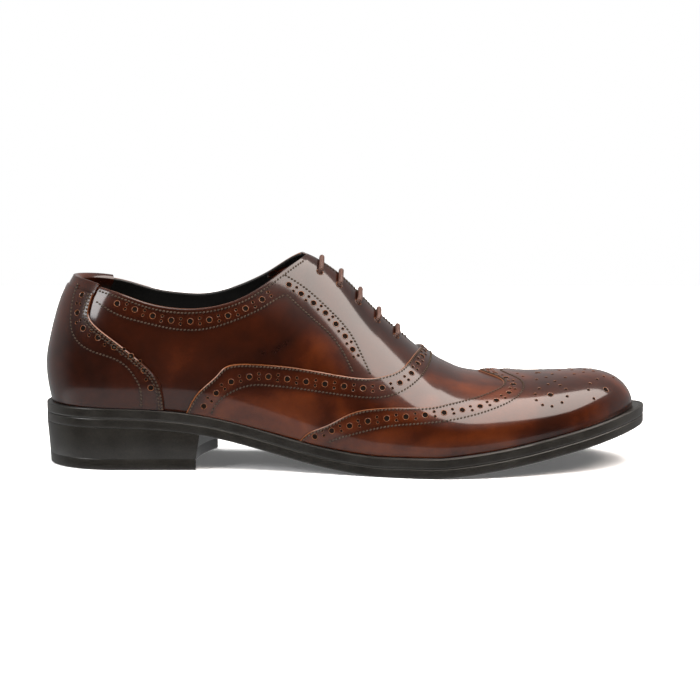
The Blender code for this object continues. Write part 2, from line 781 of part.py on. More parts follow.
def add_heel_tab():
    # A strip folded over the collar's edge at the back, outside to inside.
    reach = COUNTER_EDGE[0][1] * SOLE_LENGTH
    outside, inside = PANEL_GAP + TAB_THICK, -UPPER_WALL - PANEL_GAP - TAB_THICK
    rim = GAP + TAB_THICK
    # depth under the collar's edge and distance from the upper's outer face
    back = -UPPER_WALL - PANEL_GAP
    outline = [(TAB_DEPTH, outside), (0.0, outside), (-rim, PANEL_GAP), (-rim, back),
               (0.0, inside), (TAB_DEPTH, inside), (TAB_DEPTH, back), (0.0, back),
               (-GAP, -UPPER_WALL), (-GAP, 0.0), (0.0, PANEL_GAP), (TAB_DEPTH, PANEL_GAP)]
    turn = even_arcs(reach, 6)
    points, rings = [], []
    for side, places in ((-1, turn[::-1]), (1, turn[1:])):
        for place in places:
            p = np.array([place])
            edge = top_edge(p, side)
            collar = surface(p, side * edge)[0]
            below = girth_at_height(p, side, collar[2:3] - TAB_DEPTH)
            ring = []
            for depth, out in outline:
                q = edge if depth <= 0 else below
                spot = surface(p, side * q)[0] + normals(p, side * q)[0] * out
                ring.append(len(points))
                points.append(spot + np.array([0.0, 0.0, max(0.0, -depth)]))
            rings.append(ring)
    faces = [tuple(rings[0]), tuple(reversed(rings[-1]))]
    for before, after in zip(rings, rings[1:]):
        for k in range(len(outline)):
            m = (k + 1) % len(outline)
            faces.append((before[m], before[k], after[k], after[m]))
    points = np.array(points)
    points[:, 0] -= ORIGIN_FROM_BACK
    add_object("heel_tab", points, faces, "brown_leather")


def tongue_depth(p):
    # How far the tongue's outer face lies under the upper's outer face; it sags at its top.
    rest = UPPER_WALL + LACE_DIAMETER + 7 * GAP
    sag = np.clip((THROAT_TOP * SOLE_LENGTH - p) / ((THROAT_TOP - TONGUE_TOP) * SOLE_LENGTH), 0, 1)
    return rest + TONGUE_DROP * sag**2


def add_tongue():
    p = np.linspace(TONGUE_TOP, TONGUE_END, 12) * SOLE_LENGTH
    widths = np.interp(p / SOLE_LENGTH, (TONGUE_TOP, THROAT_TOP, TONGUE_END), (0.21, 0.24, 0.26))
    way = np.linspace(-1, 1, 7)
    girth = widths[:, None] * way[None, :]
    place = np.repeat(p[:, None], len(way), 1)
    depth = np.repeat(tongue_depth(p)[:, None], len(way), 1)
    outer = surface(place, girth) - normals(place, girth) * depth[..., None]
    inner = surface(place, girth) - normals(place, girth) * (depth + TONGUE_THICK)[..., None]
    faces = grid_faces(*place.shape)
    sheet_solid("tongue", outer.reshape(-1, 3), inner.reshape(-1, 3), faces, "brown_leather")


def add_insole():
    # Inside the upper, on the midsole, clear of the wall.
    p = stations(26)[1:-1]
    p = p[(p > INSOLE_END) & (p < UPPER_LENGTH - INSOLE_END)]
    way = np.linspace(-1, 1, 3)
    rim = UPPER_WALL + 2 * GAP
    lateral = skin(p, -np.ones(len(p)), np.full(len(p), -rim))
    medial = skin(p, np.ones(len(p)), np.full(len(p), -rim))
    rows = lateral[:, None, :] + (medial - lateral)[:, None, :] * (way[None, :, None] + 1) / 2
    low = rows.copy()
    low[..., 2] = feather_height(low[..., 0]) + GAP / 2
    high = low.copy()
    high[..., 2] += INSOLE_THICK
    sheet_solid("insole", high.reshape(-1, 3), low.reshape(-1, 3), grid_faces(len(p), len(way)),
                "black_leather")


def lace_path():
    # One cord: over the throat, down an eyelet, along under the facing, up the next and back.
    over = GAP + LACE_DIAMETER / 2
    under = UPPER_WALL + 4 * GAP + LACE_DIAMETER / 2
    bend = 0.75 * LACE_DIAMETER
    gap_share = (LAST_EYELET - FIRST_EYELET) / (EYELET_COUNT - 1)
    path = []

    def spot(share, side_distance, out):
        p = np.array([share * SOLE_LENGTH])
        side = -1 if side_distance < 0 else 1
        q = side * girth_from_ridge(p, side, abs(side_distance))
        return (surface(p, q) + normals(p, q) * out)[0]

    side = -1
    for n in range(EYELET_COUNT):
        share = FIRST_EYELET + gap_share * n
        if n == 0:
            path.append(spot(share, side * EYELET_INSET, -under))
        path.append(spot(share, side * EYELET_INSET, over - bend))
        path.append(spot(share, side * (EYELET_INSET - 0.29 * bend), over - 0.29 * bend))
        for reach in np.linspace(EYELET_INSET - bend, -(EYELET_INSET - bend), 6):
            path.append(spot(share, side * reach if abs(reach) > 1e-9 else 1e-6, over))
        side = -side
        path.append(spot(share, side * (EYELET_INSET - 0.29 * bend), over - 0.29 * bend))
        path.append(spot(share, side * EYELET_INSET, over - bend))
        if n == EYELET_COUNT - 1:
            path.append(spot(share, side * EYELET_INSET, -under))
            break
        near = bend / SOLE_LENGTH
        path.append(spot(share, side * EYELET_INSET, -under + bend))
        path.append(spot(share + 0.29 * near, side * EYELET_INSET, -under + 0.29 * bend))
        for way in np.linspace(share + near, share + gap_share - near, 3):
            path.append(spot(way, side * EYELET_INSET, -under))
        path.append(spot(share + gap_share - 0.29 * near, side * EYELET_INSET,
                         -under + 0.29 * bend))
        path.append(spot(share + gap_share, side * EYELET_INSET, -under + bend))
    return np.array(path)


def add_lace():
    path = lace_path()
    path[:, 0] -= ORIGIN_FROM_BACK
    curve = bpy.data.curves.new("lace", "CURVE")
    curve.dimensions = "3D"
    line = curve.splines.new("POLY")
    line.points.add(len(path) - 1)
    for point, place in zip(line.points, path):
        point.co = (*place, 1.0)
    curve.bevel_depth = LACE_DIAMETER / 2
    curve.bevel_resolution = (LACE_SIDES - 4) // 2
    curve.use_fill_caps = True
    curve.materials.append(material("brown_cord"))
    lace = bpy.data.objects.new("lace", curve)
    bpy.context.scene.collection.objects.link(lace)


clear_scene()
add_sole()
add_heel()
add_upper()
add_wing_cap()
add_vamp()
add_counter()
add_heel_tab()
add_tongue()
add_insole()
add_lace()
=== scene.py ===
import math

import bmesh
import bpy
import numpy as np
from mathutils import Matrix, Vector
from mathutils.kdtree import KDTree


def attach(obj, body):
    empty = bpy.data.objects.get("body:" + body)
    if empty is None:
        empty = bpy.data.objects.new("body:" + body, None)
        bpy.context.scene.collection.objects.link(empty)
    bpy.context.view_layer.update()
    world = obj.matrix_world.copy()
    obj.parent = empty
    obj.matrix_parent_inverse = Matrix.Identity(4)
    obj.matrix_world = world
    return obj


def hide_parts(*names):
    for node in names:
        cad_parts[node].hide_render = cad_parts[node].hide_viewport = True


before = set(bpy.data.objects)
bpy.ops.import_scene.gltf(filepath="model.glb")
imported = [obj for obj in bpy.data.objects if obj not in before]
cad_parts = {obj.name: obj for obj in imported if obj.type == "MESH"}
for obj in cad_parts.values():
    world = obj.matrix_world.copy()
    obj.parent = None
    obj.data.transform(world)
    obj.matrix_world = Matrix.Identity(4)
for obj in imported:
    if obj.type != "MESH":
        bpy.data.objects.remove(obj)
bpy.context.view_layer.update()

# Sizes of the sole unit
soleLength = 0.305
ballWidth = 0.1035
heelHeight = 0.0215
heelLength = 0.0835
toeSpring = 0.0200
outsoleThick = 0.0047
weltThick = 0.0048
topLiftThick = 0.0054
breastDip = 0.0050
breastSlant = 0.0058
breastLean = 0.0019
heelTaper = 0.0012
edgeRound = 0.0007
originFromBack = 0.042

# Sizes of the upper
backHeight = 0.0650
instepHeight = 0.0888
upperWall = 0.0020
weltMargin = 0.0046
heelMargin = 0.0024
toeMargin = 0.0057
upperBackSet = 0.0018
throatGap = 0.0030
capThick = 0.0018
vampThick = 0.0011
counterThick = 0.0011
tabDepth = 0.0052
insoleThick = 0.0026
tongueThick = 0.0020
tongueDrop = 0.0085
laceDiameter = 0.0023
eyeletRadius = 0.0018
eyeletInset = 0.0122
eyeletCount = 5

# Clearance between pieces that touch, and between the upper and a panel that lies on it
gap = 0.0003
panelGap = 0.0005

# Where the throat, tongue and eyelets lie, as shares of the sole length
throatTop = 0.456
throatEnd = 0.612
tongueTop = 0.380
tongueEnd = 0.632
firstEyelet = 0.4590
lastEyelet = 0.5850
facingCorner = 0.028
cornerFullness = 0.6

# Height of the outsole's underside: rear rows are shares of heelHeight, front rows of toeSpring
bottomRearRows = [
    # station, share of heel height
    (0.000, 1.000),
    (0.130, 0.985),
    (0.272, 0.810),
    (0.377, 0.450),
    (0.459, 0.172),
    (0.535, 0.018),
    (0.600, -0.030),
]
bottomFrontRows = [
    # station, share of toe spring
    (0.600, -0.033),
    (0.655, 0.005),
    (0.710, 0.095),
    (0.803, 0.325),
    (0.902, 0.650),
    (1.000, 1.000),
]

# Half widths of the sole before its ends are rounded, as shares of ballWidth
solePlan = [
    # station, lateral, medial
    (0.000, 0.300, 0.298),
    (0.131, 0.314, 0.308),
    (0.275, 0.308, 0.282),
    (0.377, 0.326, 0.246),
    (0.459, 0.382, 0.272),
    (0.541, 0.446, 0.352),
    (0.623, 0.497, 0.447),
    (0.695, 0.503, 0.491),
    (0.780, 0.460, 0.482),
    (0.862, 0.385, 0.424),
    (0.935, 0.305, 0.345),
    (1.000, 0.235, 0.262),
]

# Ridge of the instep and vamp above the feather line, as shares of instepHeight
ridge = [
    # station, height
    (0.000, 0.880),
    (0.148, 0.930),
    (0.279, 0.980),
    (0.377, 1.018),
    (0.429, 1.022),
    (0.465, 0.990),
    (0.502, 0.911),
    (0.541, 0.786),
    (0.580, 0.660),
    (0.623, 0.538),
    (0.666, 0.433),
    (0.705, 0.368),
    (0.754, 0.332),
    (0.803, 0.298),
    (0.859, 0.263),
    (0.902, 0.238),
    (1.000, 0.208),
]

# Shape of the cross-sections between feather line and ridge
sections = [
    # station, bulge lateral, bulge medial (shares of ballWidth), height of the widest point
    # (share of instepHeight), fullness of the wall, fullness of the top, ridge offset (ballWidth)
    (0.000, 0.020, 0.020, 0.190, 0.60, 0.55, 0.000),
    (0.148, 0.020, 0.020, 0.200, 0.60, 0.55, 0.000),
    (0.279, 0.026, 0.040, 0.210, 0.58, 0.53, 0.003),
    (0.377, 0.024, 0.060, 0.200, 0.52, 0.46, 0.010),
    (0.459, 0.018, 0.060, 0.170, 0.44, 0.38, 0.018),
    (0.541, 0.012, 0.040, 0.130, 0.42, 0.36, 0.028),
    (0.623, 0.010, 0.020, 0.095, 0.46, 0.42, 0.036),
    (0.705, 0.008, 0.012, 0.076, 0.50, 0.48, 0.036),
    (0.803, 0.006, 0.008, 0.066, 0.54, 0.54, 0.028),
    (0.902, 0.004, 0.005, 0.054, 0.58, 0.58, 0.014),
    (1.000, 0.002, 0.002, 0.040, 0.60, 0.60, 0.000),
]

# Lean of the back seam: how far in front of the rearmost bulge it lies
backCurveRows = [
    # height above the seat, set forward (both shares of backHeight)
    (-0.100, 0.052),
    (0.000, 0.036),
    (0.065, 0.024),
    (0.140, 0.011),
    (0.230, 0.002),
    (0.300, 0.001),
    (0.380, 0.008),
    (0.460, 0.024),
    (0.615, 0.062),
    (0.755, 0.104),
    (0.860, 0.148),
    (0.950, 0.200),
    (1.000, 0.228),
    (1.250, 0.360),
]

# Height of the collar's edge above the heel seat, as shares of backHeight
collar = [
    # station, lateral, medial
    (0.000, 0.965, 0.965),
    (0.035, 0.940, 0.948),
    (0.075, 0.905, 0.920),
    (0.120, 0.860, 0.875),
    (0.165, 0.805, 0.828),
    (0.215, 0.764, 0.800),
    (0.258, 0.756, 0.796),
    (0.300, 0.783, 0.838),
    (0.340, 0.850, 0.915),
    (0.375, 0.950, 1.005),
    (0.412, 1.072, 1.120),
    (0.446, 1.165, 1.190),
]

# Seams on the surface: station along the sole length against the share of the half girth.
# The girth share is 0 on the ridge and 1 on the feather line.
wingEdgeRows = [
    (1.000, 0.428),
    (0.930, 0.441),
    (0.840, 0.465),
    (0.755, 0.493),
    (0.680, 0.532),
    (0.635, 0.568),
    (0.580, 0.618),
    (0.500, 0.662),
    (0.416, 0.702),
    (0.340, 0.738),
    (0.270, 0.757),
    (0.190, 0.757),
    (0.100, 0.740),
    (0.000, 0.722),
]
vampEdgeRows = [
    (1.000, 0.242),
    (0.900, 0.256),
    (0.800, 0.277),
    (0.740, 0.298),
    (0.700, 0.324),
    (0.678, 0.360),
    (0.641, 0.418),
    (0.603, 0.474),
    (0.560, 0.520),
    (0.500, 0.556),
    (0.430, 0.582),
    (0.340, 0.599),
    (0.240, 0.610),
    (0.100, 0.621),
    (0.000, 0.626),
]
counterEdgeRows = [
    # share of the way from the collar to the feather line, station
    (0.000, 0.0625),
    (0.120, 0.0645),
    (0.200, 0.0720),
    (0.270, 0.1000),
    (0.330, 0.1350),
    (0.400, 0.1680),
    (0.500, 0.1920),
    (0.620, 0.2010),
    (0.800, 0.2050),
    (1.000, 0.2060),
]


def bendMatrix(knots):
    # Linear map from a natural cubic spline's values to its second derivatives.
    count = len(knots)
    step = np.diff(knots)
    left = np.eye(count)
    right = np.zeros((count, count))
    for k in range(1, count - 1):
        left[k, k - 1 : k + 2] = step[k - 1], 2 * (step[k - 1] + step[k]), step[k]
        right[k, k - 1] = 6 / step[k - 1]
        right[k, k] = -6 / step[k - 1] - 6 / step[k]
        right[k, k + 1] = 6 / step[k]
    return np.linalg.solve(left, right)


def splineWeights(knots, at):
    # Interval of each place, and the four factors of the cubic there.
    k = np.clip(np.searchsorted(knots, at, side="right") - 1, 0, len(knots) - 2)
    step = knots[k + 1] - knots[k]
    b = (at - knots[k]) / step
    a = 1 - b
    return k, a, b, (a**3 - a) * step**2 / 6, (b**3 - b) * step**2 / 6


class Track:
    # A natural cubic spline through a table's rows; column picks the value.
    def __init__(self, rows, column=1, scale=1.0):
        self.knots = np.array([row[0] for row in rows], float)
        self.values = np.array([row[column] for row in rows], float) * scale
        self.bends = bendMatrix(self.knots) @ self.values

    def __call__(self, at):
        at = np.clip(np.asarray(at, float), self.knots[0], self.knots[-1])
        k, a, b, c, d = splineWeights(self.knots, at)
        v, m = self.values, self.bends
        return a * v[k] + b * v[k + 1] + c * m[k] + d * m[k + 1]


def rounding(share, power, root):
    # Grows from 0 with a round end to 1, and has no kink where it gets there.
    t = np.clip(share, 0.0, 1.0)
    return np.power(1 - np.power(1 - t, power), 1 / root)


bottomRear = Track(bottomRearRows, scale=heelHeight)
bottomFront = Track(bottomFrontRows, scale=toeSpring)
planLateral = Track(solePlan, 1, ballWidth)
planMedial = Track(solePlan, 2, ballWidth)
ridgeHeight = Track(ridge, scale=instepHeight)
bulgeLateral = Track(sections, 1, ballWidth)
bulgeMedial = Track(sections, 2, ballWidth)
widestHeight = Track(sections, 3, instepHeight)
wallFullness = Track(sections, 4)
topFullness = Track(sections, 5)
ridgeOffset = Track(sections, 6, ballWidth)
backCurve = Track(backCurveRows, scale=backHeight)
collarLateral = Track(collar, 1, backHeight)
collarMedial = Track(collar, 2, backHeight)
wingEdge = Track(wingEdgeRows[::-1])
vampEdge = Track(vampEdgeRows[::-1])
counterEdge = Track(counterEdgeRows)

# Reach of the round ends
soleHeelReach = 0.040
soleToeReach = 0.036
upperHeelReach = 0.038
upperToeReach = 0.034
toeDomeReach = 0.025
backLeanReach = 0.085

upperLength = soleLength - toeMargin - capThick - panelGap
soleStack = outsoleThick + gap + weltThick + gap
seatHeight = heelHeight + soleStack
girthKnots = np.linspace(-1.0, 1.0, 19)
girthBends = bendMatrix(girthKnots)


def soleBottom(x):
    # Height of the outsole's underside; flat on the floor under the ball.
    share = np.asarray(x, float) / soleLength
    height = np.where(share < bottomFrontRows[0][0], bottomRear(share), bottomFront(share))
    return np.maximum(height, 0.0)


def featherHeight(x):
    return soleBottom(x) + soleStack


def soleHalfWidth(x, side):
    share = np.asarray(x, float) / soleLength
    plan = planLateral(share) if side < 0 else planMedial(share)
    heel = rounding(np.asarray(x) / soleHeelReach, 2.4, 2.1)
    toe = rounding((soleLength - np.asarray(x)) / soleToeReach, 2.2, 2.0)
    return plan * heel * toe


def bezier(a, b, c, d, t):
    s = 1 - t
    return s**3 * a + 3 * s**2 * t * b + 3 * s * t**2 * c + t**3 * d


def halfSection(p, side):
    # Ten points of each cross-section from the feather line to the ridge, as (y, z).
    share = p / soleLength
    plan = planLateral(share) if side < 0 else planMedial(share)
    bulge = bulgeLateral(share) if side < 0 else bulgeMedial(share)
    forward = np.clip((share - 0.30) / 0.25, 0, 1)
    margin = heelMargin + (weltMargin - heelMargin) * forward * forward * (3 - 2 * forward)
    heel = rounding(p / upperHeelReach, 2.4, 2.1)
    toe = rounding((upperLength - p) / upperToeReach, 2.2, 2.0)
    dome = rounding((upperLength - p) / toeDomeReach, 2.3, 2.0)
    foot = (plan - margin) * heel * toe
    wide = foot + bulge * heel * toe
    low = widestHeight(share) * dome
    top = ridgeHeight(share) * dome
    middle = ridgeOffset(share) * toe * side
    wall, roof = wallFullness(share), topFullness(share)
    points = []
    for t in (0.0, 0.5):
        y = bezier(foot, foot + (wide - foot) * 0.6, wide, wide, t)
        z = bezier(0 * low, low * 0.35, low * 0.65, low, t)
        points.append((y, z))
    for t in np.linspace(0.0, 1.0, 8):
        y = bezier(wide, wide, middle + (wide - middle) * roof, middle, t)
        z = bezier(low, low + (top - low) * wall, top, top, t)
        points.append((y, z))
    ys = np.stack([point[0] for point in points], axis=-1) * side
    zs = np.stack([point[1] for point in points], axis=-1)
    return np.stack([ys, zs], axis=-1)


def surface(p, q):
    # The upper's outer face. p runs along the sole from the back seam, q across the girth:
    # -1 is the lateral feather line, 0 the ridge, 1 the medial feather line.
    p = np.atleast_1d(np.asarray(p, float))
    q = np.atleast_1d(np.asarray(q, float))
    p, q = np.broadcast_arrays(p, q)
    shape = p.shape
    p, q = p.ravel(), q.ravel()
    lateral = halfSection(p, -1)
    medial = halfSection(p, 1)
    net = np.concatenate([lateral, medial[:, -2::-1]], axis=1)
    bends = np.einsum("ij,njk->nik", girthBends, net)
    k, a, b, c, d = splineWeights(girthKnots, np.clip(q, -1, 1))
    n = np.arange(len(p))
    yz = (
        a[:, None] * net[n, k]
        + b[:, None] * net[n, k + 1]
        + c[:, None] * bends[n, k]
        + d[:, None] * bends[n, k + 1]
    )
    height = yz[:, 1]
    fade = np.clip(p / backLeanReach, 0, 1)
    fade = 1 - fade * fade * (3 - 2 * fade)
    lean = backCurve((height + featherHeight(p) - seatHeight) / backHeight)
    x = p + (lean + upperBackSet) * fade
    return np.stack([x, yz[:, 0], height + featherHeight(p)], axis=-1).reshape(*shape, 3)


def normals(p, q):
    # Unit normals of the surface, by differences that pass smoothly round the back seam.
    p, q = np.broadcast_arrays(np.asarray(p, float), np.asarray(q, float))
    turn = np.arccos(np.clip(1 - 2 * p / upperLength, -1, 1))
    small = 2e-3
    turn = np.minimum(turn, math.pi - 2 * small)

    def moved(delta):
        angle = turn + delta
        flip = np.where(angle < 0, -1.0, 1.0)
        return surface(upperLength * (1 - np.cos(angle)) / 2, q * flip)

    along = moved(small) - moved(-small)
    place = upperLength * (1 - np.cos(turn)) / 2
    across = surface(place, np.clip(q + small, -1, 1)) - surface(place, np.clip(q - small, -1, 1))
    normal = np.cross(along, across)
    return normal / np.linalg.norm(normal, axis=-1, keepdims=True)


# Creases: soft troughs over the ball, where the shoe bends
creases = {
    "bow": 0.045,      # how far each trough runs back as it comes down the sides
    "troughs": [
        # station, depth in metres, half width (share of the length), reach (share of the half girth)
        (0.618, 0.00016, 0.012, 0.62),
        (0.652, 0.00026, 0.013, 0.74),
        (0.690, 0.00020, 0.012, 0.66),
        (0.734, 0.00012, 0.014, 0.52),
    ],
}


def creaseDepth(share, q):
    # How far the leather has sunk at a point.
    depth = np.zeros(share.shape)
    for station, deep, width, reach in creases["troughs"]:
        across = (share - station + creases["bow"] * q**2) / width
        depth += deep * np.exp(-(across**2)) * np.clip(1 - (q / reach) ** 2, 0, 1) ** 2
    return depth


def skin(p, q, out):
    # A point above (out > 0) or under the upper's outer face.
    p, q = np.broadcast_arrays(np.asarray(p, float), np.asarray(q, float))
    base = surface(p, q)
    lift = np.asarray(out, float) - creaseDepth(p / soleLength, q)
    place = base + normals(p, q) * lift[..., None]
    floor = featherHeight(np.clip(place[..., 0], 0, soleLength))
    onEdge = np.abs(q) > 0.999
    place[..., 2] = np.where(onEdge, floor, np.maximum(place[..., 2], floor))
    return place


def girthAtHeight(p, side, height):
    # The girth share where the surface reaches a height.
    shares = np.linspace(1.0, 0.0, 121)
    grid = surface(np.repeat(p[:, None], len(shares), 1), side * shares[None, :])[..., 2]
    found = [np.interp(h, np.maximum.accumulate(row), shares) for h, row in zip(height, grid)]
    return np.array(found)


def girthFromRidge(p, side, distance):
    # The girth share at a distance from the ridge, measured over the surface.
    shares = np.linspace(0.0, 1.0, 121)
    p = np.atleast_1d(np.asarray(p, float))
    grid = surface(np.repeat(p[:, None], len(shares), 1), side * shares[None, :])
    step = np.linalg.norm(np.diff(grid, axis=1), axis=-1)
    length = np.concatenate([np.zeros((len(p), 1)), np.cumsum(step, axis=1)], axis=1)
    distance = np.broadcast_to(distance, p.shape)
    return np.array([np.interp(s, row, shares) for s, row in zip(distance, length)])


def topEdge(p, side):
    # Girth share of the upper's top edge: the collar, then the throat slit, then the ridge.
    p = np.atleast_1d(np.asarray(p, float))
    share = p / soleLength
    collar = collarLateral(share) if side < 0 else collarMedial(share)
    onCollar = girthAtHeight(p, side, seatHeight + collar)
    slit = np.clip((throatEnd - share) / (throatEnd - throatTop), 0, 1)
    onSlit = girthFromRidge(p, side, throatGap / 2 * np.sqrt(slit))
    corner = np.clip((throatTop - share) / facingCorner, 0, 1)
    blend = np.power(corner, cornerFullness)
    return np.where(share >= throatTop, onSlit, onSlit + (onCollar - onSlit) * blend)


def smooth(t):
    t = np.clip(t, 0.0, 1.0)
    return t * t * (3 - 2 * t)


def rolled(distance, radius):
    # Share of full height at a distance from a rounded edge.
    t = np.clip(1 - distance / radius, 0.0, 1.0)
    return np.sqrt(1 - t * t)


def gridFaces(rows, columns, start=0, flip=False):
    # Four-sided faces over a grid of points.
    r, c = np.meshgrid(np.arange(rows - 1), np.arange(columns - 1), indexing="ij")
    a = (start + r * columns + c).ravel()
    ring = [a, a + 1, a + columns + 1, a + columns]
    return np.stack(ring[::-1] if flip else ring, axis=-1)


def sameSpots(points, near=2e-6):
    # The first of each set of points that coincide, and the set that each point is in.
    keys = np.round(points / near).astype(np.int64)
    found = np.unique(keys, axis=0, return_index=True, return_inverse=True)
    return found[1], found[2].reshape(-1)


def weld(points, faces, looks=None):
    # Points that coincide become one, and faces that vanish are dropped.
    first, index = sameSpots(points)
    kept, keptLooks = [], []
    for n, face in enumerate(faces):
        ring = [int(index[v]) for v in face]
        ring = [v for v, before in zip(ring, [ring[-1], *ring[:-1]]) if v != before]
        if len(set(ring)) == len(ring) and len(ring) > 2:
            kept.append(ring)
            keptLooks.append(0 if looks is None else int(looks[n]))
    return points[first], kept, keptLooks


def addObject(name, data):
    obj = bpy.data.objects.new(name, data)
    bpy.context.scene.collection.objects.link(obj)
    return obj


def faceOutwards(mesh):
    shape = bmesh.new()
    shape.from_mesh(mesh)
    bmesh.ops.recalc_face_normals(shape, faces=shape.faces)
    shape.to_mesh(mesh)
    shape.free()
    mesh.shade_smooth()


def makeObject(name, points, faces, materials, looks=None, sharp=50):
    # A piece from points along the sole; looks picks the material of each face.
    points = np.array(points, float) - [originFromBack, 0, 0]
    points, faces, looks = weld(points, faces, looks)
    mesh = bpy.data.meshes.new(name)
    mesh.from_pydata(points.tolist(), [], faces)
    mesh.polygons.foreach_set("material_index", looks)
    for material in materials:
        mesh.materials.append(material)
    faceOutwards(mesh)
    mesh.set_sharp_from_angle(angle=math.radians(sharp))
    return addObject(name, mesh)


def sheet(name, grids, materials):
    # A closed wall between outer and inner grids; each grid is (outer, inner, flip).
    outer = np.concatenate([grid[0].reshape(-1, 3) for grid in grids])
    inner = np.concatenate([grid[1].reshape(-1, 3) for grid in grids])
    faces, start = [], 0
    for grid in grids:
        rows, columns = grid[0].shape[:2]
        faces.append(gridFaces(rows, columns, start, grid[2]))
        start += rows * columns
    faces = np.concatenate(faces)
    first, index = sameSpots(outer)
    inner = inner[first][index]
    ends = np.stack([faces, np.roll(faces, -1, axis=1)], axis=-1).reshape(-1, 2)
    joined = np.sort(index[ends], axis=1)
    real = joined[:, 0] != joined[:, 1]
    ends, joined = ends[real], joined[real]
    _, back, used = np.unique(joined, axis=0, return_inverse=True, return_counts=True)
    rim = ends[used[back.reshape(-1)] == 1]
    count = len(outer)
    walls = np.stack([rim[:, 1], rim[:, 0], count + rim[:, 0], count + rim[:, 1]], axis=-1)
    allFaces = np.concatenate([faces, count + faces[:, ::-1], walls])
    looks = np.zeros(len(allFaces), int)
    looks[len(faces):2 * len(faces)] = len(materials) - 1
    return makeObject(name, np.concatenate([outer, inner]), allFaces.tolist(), materials, looks)


def along(grid, axis=1):
    # Length run over a grid from its first row or column.
    step = np.linalg.norm(np.diff(grid, axis=axis), axis=-1)
    start = np.zeros_like(np.take(step, [0], axis=axis))
    return np.concatenate([start, np.cumsum(step, axis=axis)], axis=axis)


class Seam:
    # A line over the upper: places along the sole and shares of the half girth.
    def __init__(self, p, q):
        self.p, self.q = p, q

    def line(self, out=0.0):
        # The seam's points at a height above the surface.
        spots = surface(self.p, self.q) + normals(self.p, self.q) * out
        return spots - [originFromBack, 0, 0]

    def moved(self, distance):
        # The same seam shifted over the surface to its right-hand side.
        small = 1e-4
        p, q = self.p.copy(), self.q.copy()
        for part in range(4):
            place = surface(p, q)
            tangent = np.gradient(place, axis=0)
            tangent /= np.linalg.norm(tangent, axis=-1, keepdims=True)
            step = np.cross(tangent, normals(p, q)) * distance / 4
            byP = (surface(p + small, q) - place) / small
            inward = np.where(q > 0, -small, small)
            byQ = (surface(p, q + inward) - place) / inward[:, None]
            pp, pq, qq = (byP * byP).sum(-1), (byP * byQ).sum(-1), (byQ * byQ).sum(-1)
            sp, sq = (step * byP).sum(-1), (step * byQ).sum(-1)
            det = pp * qq - pq * pq
            p = np.clip(p + (sp * qq - sq * pq) / det, 0, upperLength)
            q = np.clip(q + (sq * pp - sp * pq) / det, -1, 1)
        return Seam(p, q)

    def places(self, pitch, out, start=0.5, across=0.0):
        # Evenly spaced points on the seam, with the normal and direction there.
        facing = normals(self.p, self.q)
        line = self.line(out)
        run = along(line, 0)
        spots = np.arange(start * pitch, run[-1] - 0.2 * pitch, pitch)
        at = [np.interp(spots, run, line[:, k]) for k in range(3)]
        up = np.stack([np.interp(spots, run, facing[:, k]) for k in range(3)], -1)
        up /= np.linalg.norm(up, axis=-1, keepdims=True)
        slope = np.gradient(line, axis=0)
        way = np.stack([np.interp(spots, run, slope[:, k]) for k in range(3)], -1)
        way -= up * (way * up).sum(-1, keepdims=True)
        way /= np.linalg.norm(way, axis=-1, keepdims=True)
        return np.stack(at, -1) + np.cross(way, up) * across, up, way


def seamThrough(rows, side=1, count=700):
    # A smooth seam through listed points.
    rows = np.array(rows, float)
    chord = np.hypot(np.diff(rows[:, 0]) * 3.5, np.diff(rows[:, 1]))
    t = np.concatenate([[0], np.cumsum(chord)])
    at = np.linspace(0, t[-1], count)
    return Seam(Track(np.stack([t, rows[:, 0]], -1))(at) * soleLength,
                side * Track(np.stack([t, rows[:, 1]], -1))(at))


def pointCloud(name, places, normalsHere, ways, radius=None):
    # Bare points that know their normal, their direction and the radius of their hole.
    mesh = bpy.data.meshes.new(name)
    mesh.from_pydata(np.asarray(places).tolist(), [], [])
    for label, values in (("facing", normalsHere), ("way", ways)):
        layer = mesh.attributes.new(label, "FLOAT_VECTOR", "POINT")
        layer.data.foreach_set("vector", np.asarray(values, np.float32).ravel())
    if radius is not None:
        layer = mesh.attributes.new("holeRadius", "FLOAT", "POINT")
        layer.data.foreach_set("value", np.asarray(radius, np.float32))
    return addObject(name, mesh)


def socketOf(node, key):
    # A socket by its name, or by its number where the key is like _3.
    return node.inputs[int(key[1:])] if key[1:].isdigit() else node.inputs[key.replace("_", " ")]


class Tree:
    # The rule that sets one small shape on many points, with named inputs.
    def __init__(self, name, inputs):
        self.tree = bpy.data.node_groups.new(name, "GeometryNodeTree")
        face = self.tree.interface
        face.new_socket(name="Geometry", in_out="INPUT", socket_type="NodeSocketGeometry")
        self.names = {}
        for label, kind in inputs.items():
            item = face.new_socket(name=label, in_out="INPUT", socket_type="NodeSocket" + kind)
            self.names[label] = item.identifier
        face.new_socket(name="Geometry", in_out="OUTPUT", socket_type="NodeSocketGeometry")
        self.input = self.tree.nodes.new("NodeGroupInput")
        self.output = self.tree.nodes.new("NodeGroupOutput")

    def node(self, kind, settings=None, **links):
        made = self.tree.nodes.new(kind)
        for key, value in (settings or {}).items():
            setattr(made, key, value)
        for key, value in links.items():
            spot = socketOf(made, key)
            if isinstance(value, bpy.types.NodeSocket):
                self.tree.links.new(value, spot)
            else:
                spot.default_value = value
        return made

    def use(self, obj, values):
        # Turns the points of obj into the finished pieces.
        modifier = obj.modifiers.new("pieces", "NODES")
        modifier.node_group = self.tree
        for label, value in values.items():
            modifier[self.names[label]] = value
        graph = bpy.context.evaluated_depsgraph_get()
        mesh = bpy.data.meshes.new_from_object(obj.evaluated_get(graph))
        mesh.name = obj.name
        obj.modifiers.remove(modifier)
        obj.data = mesh
        return obj


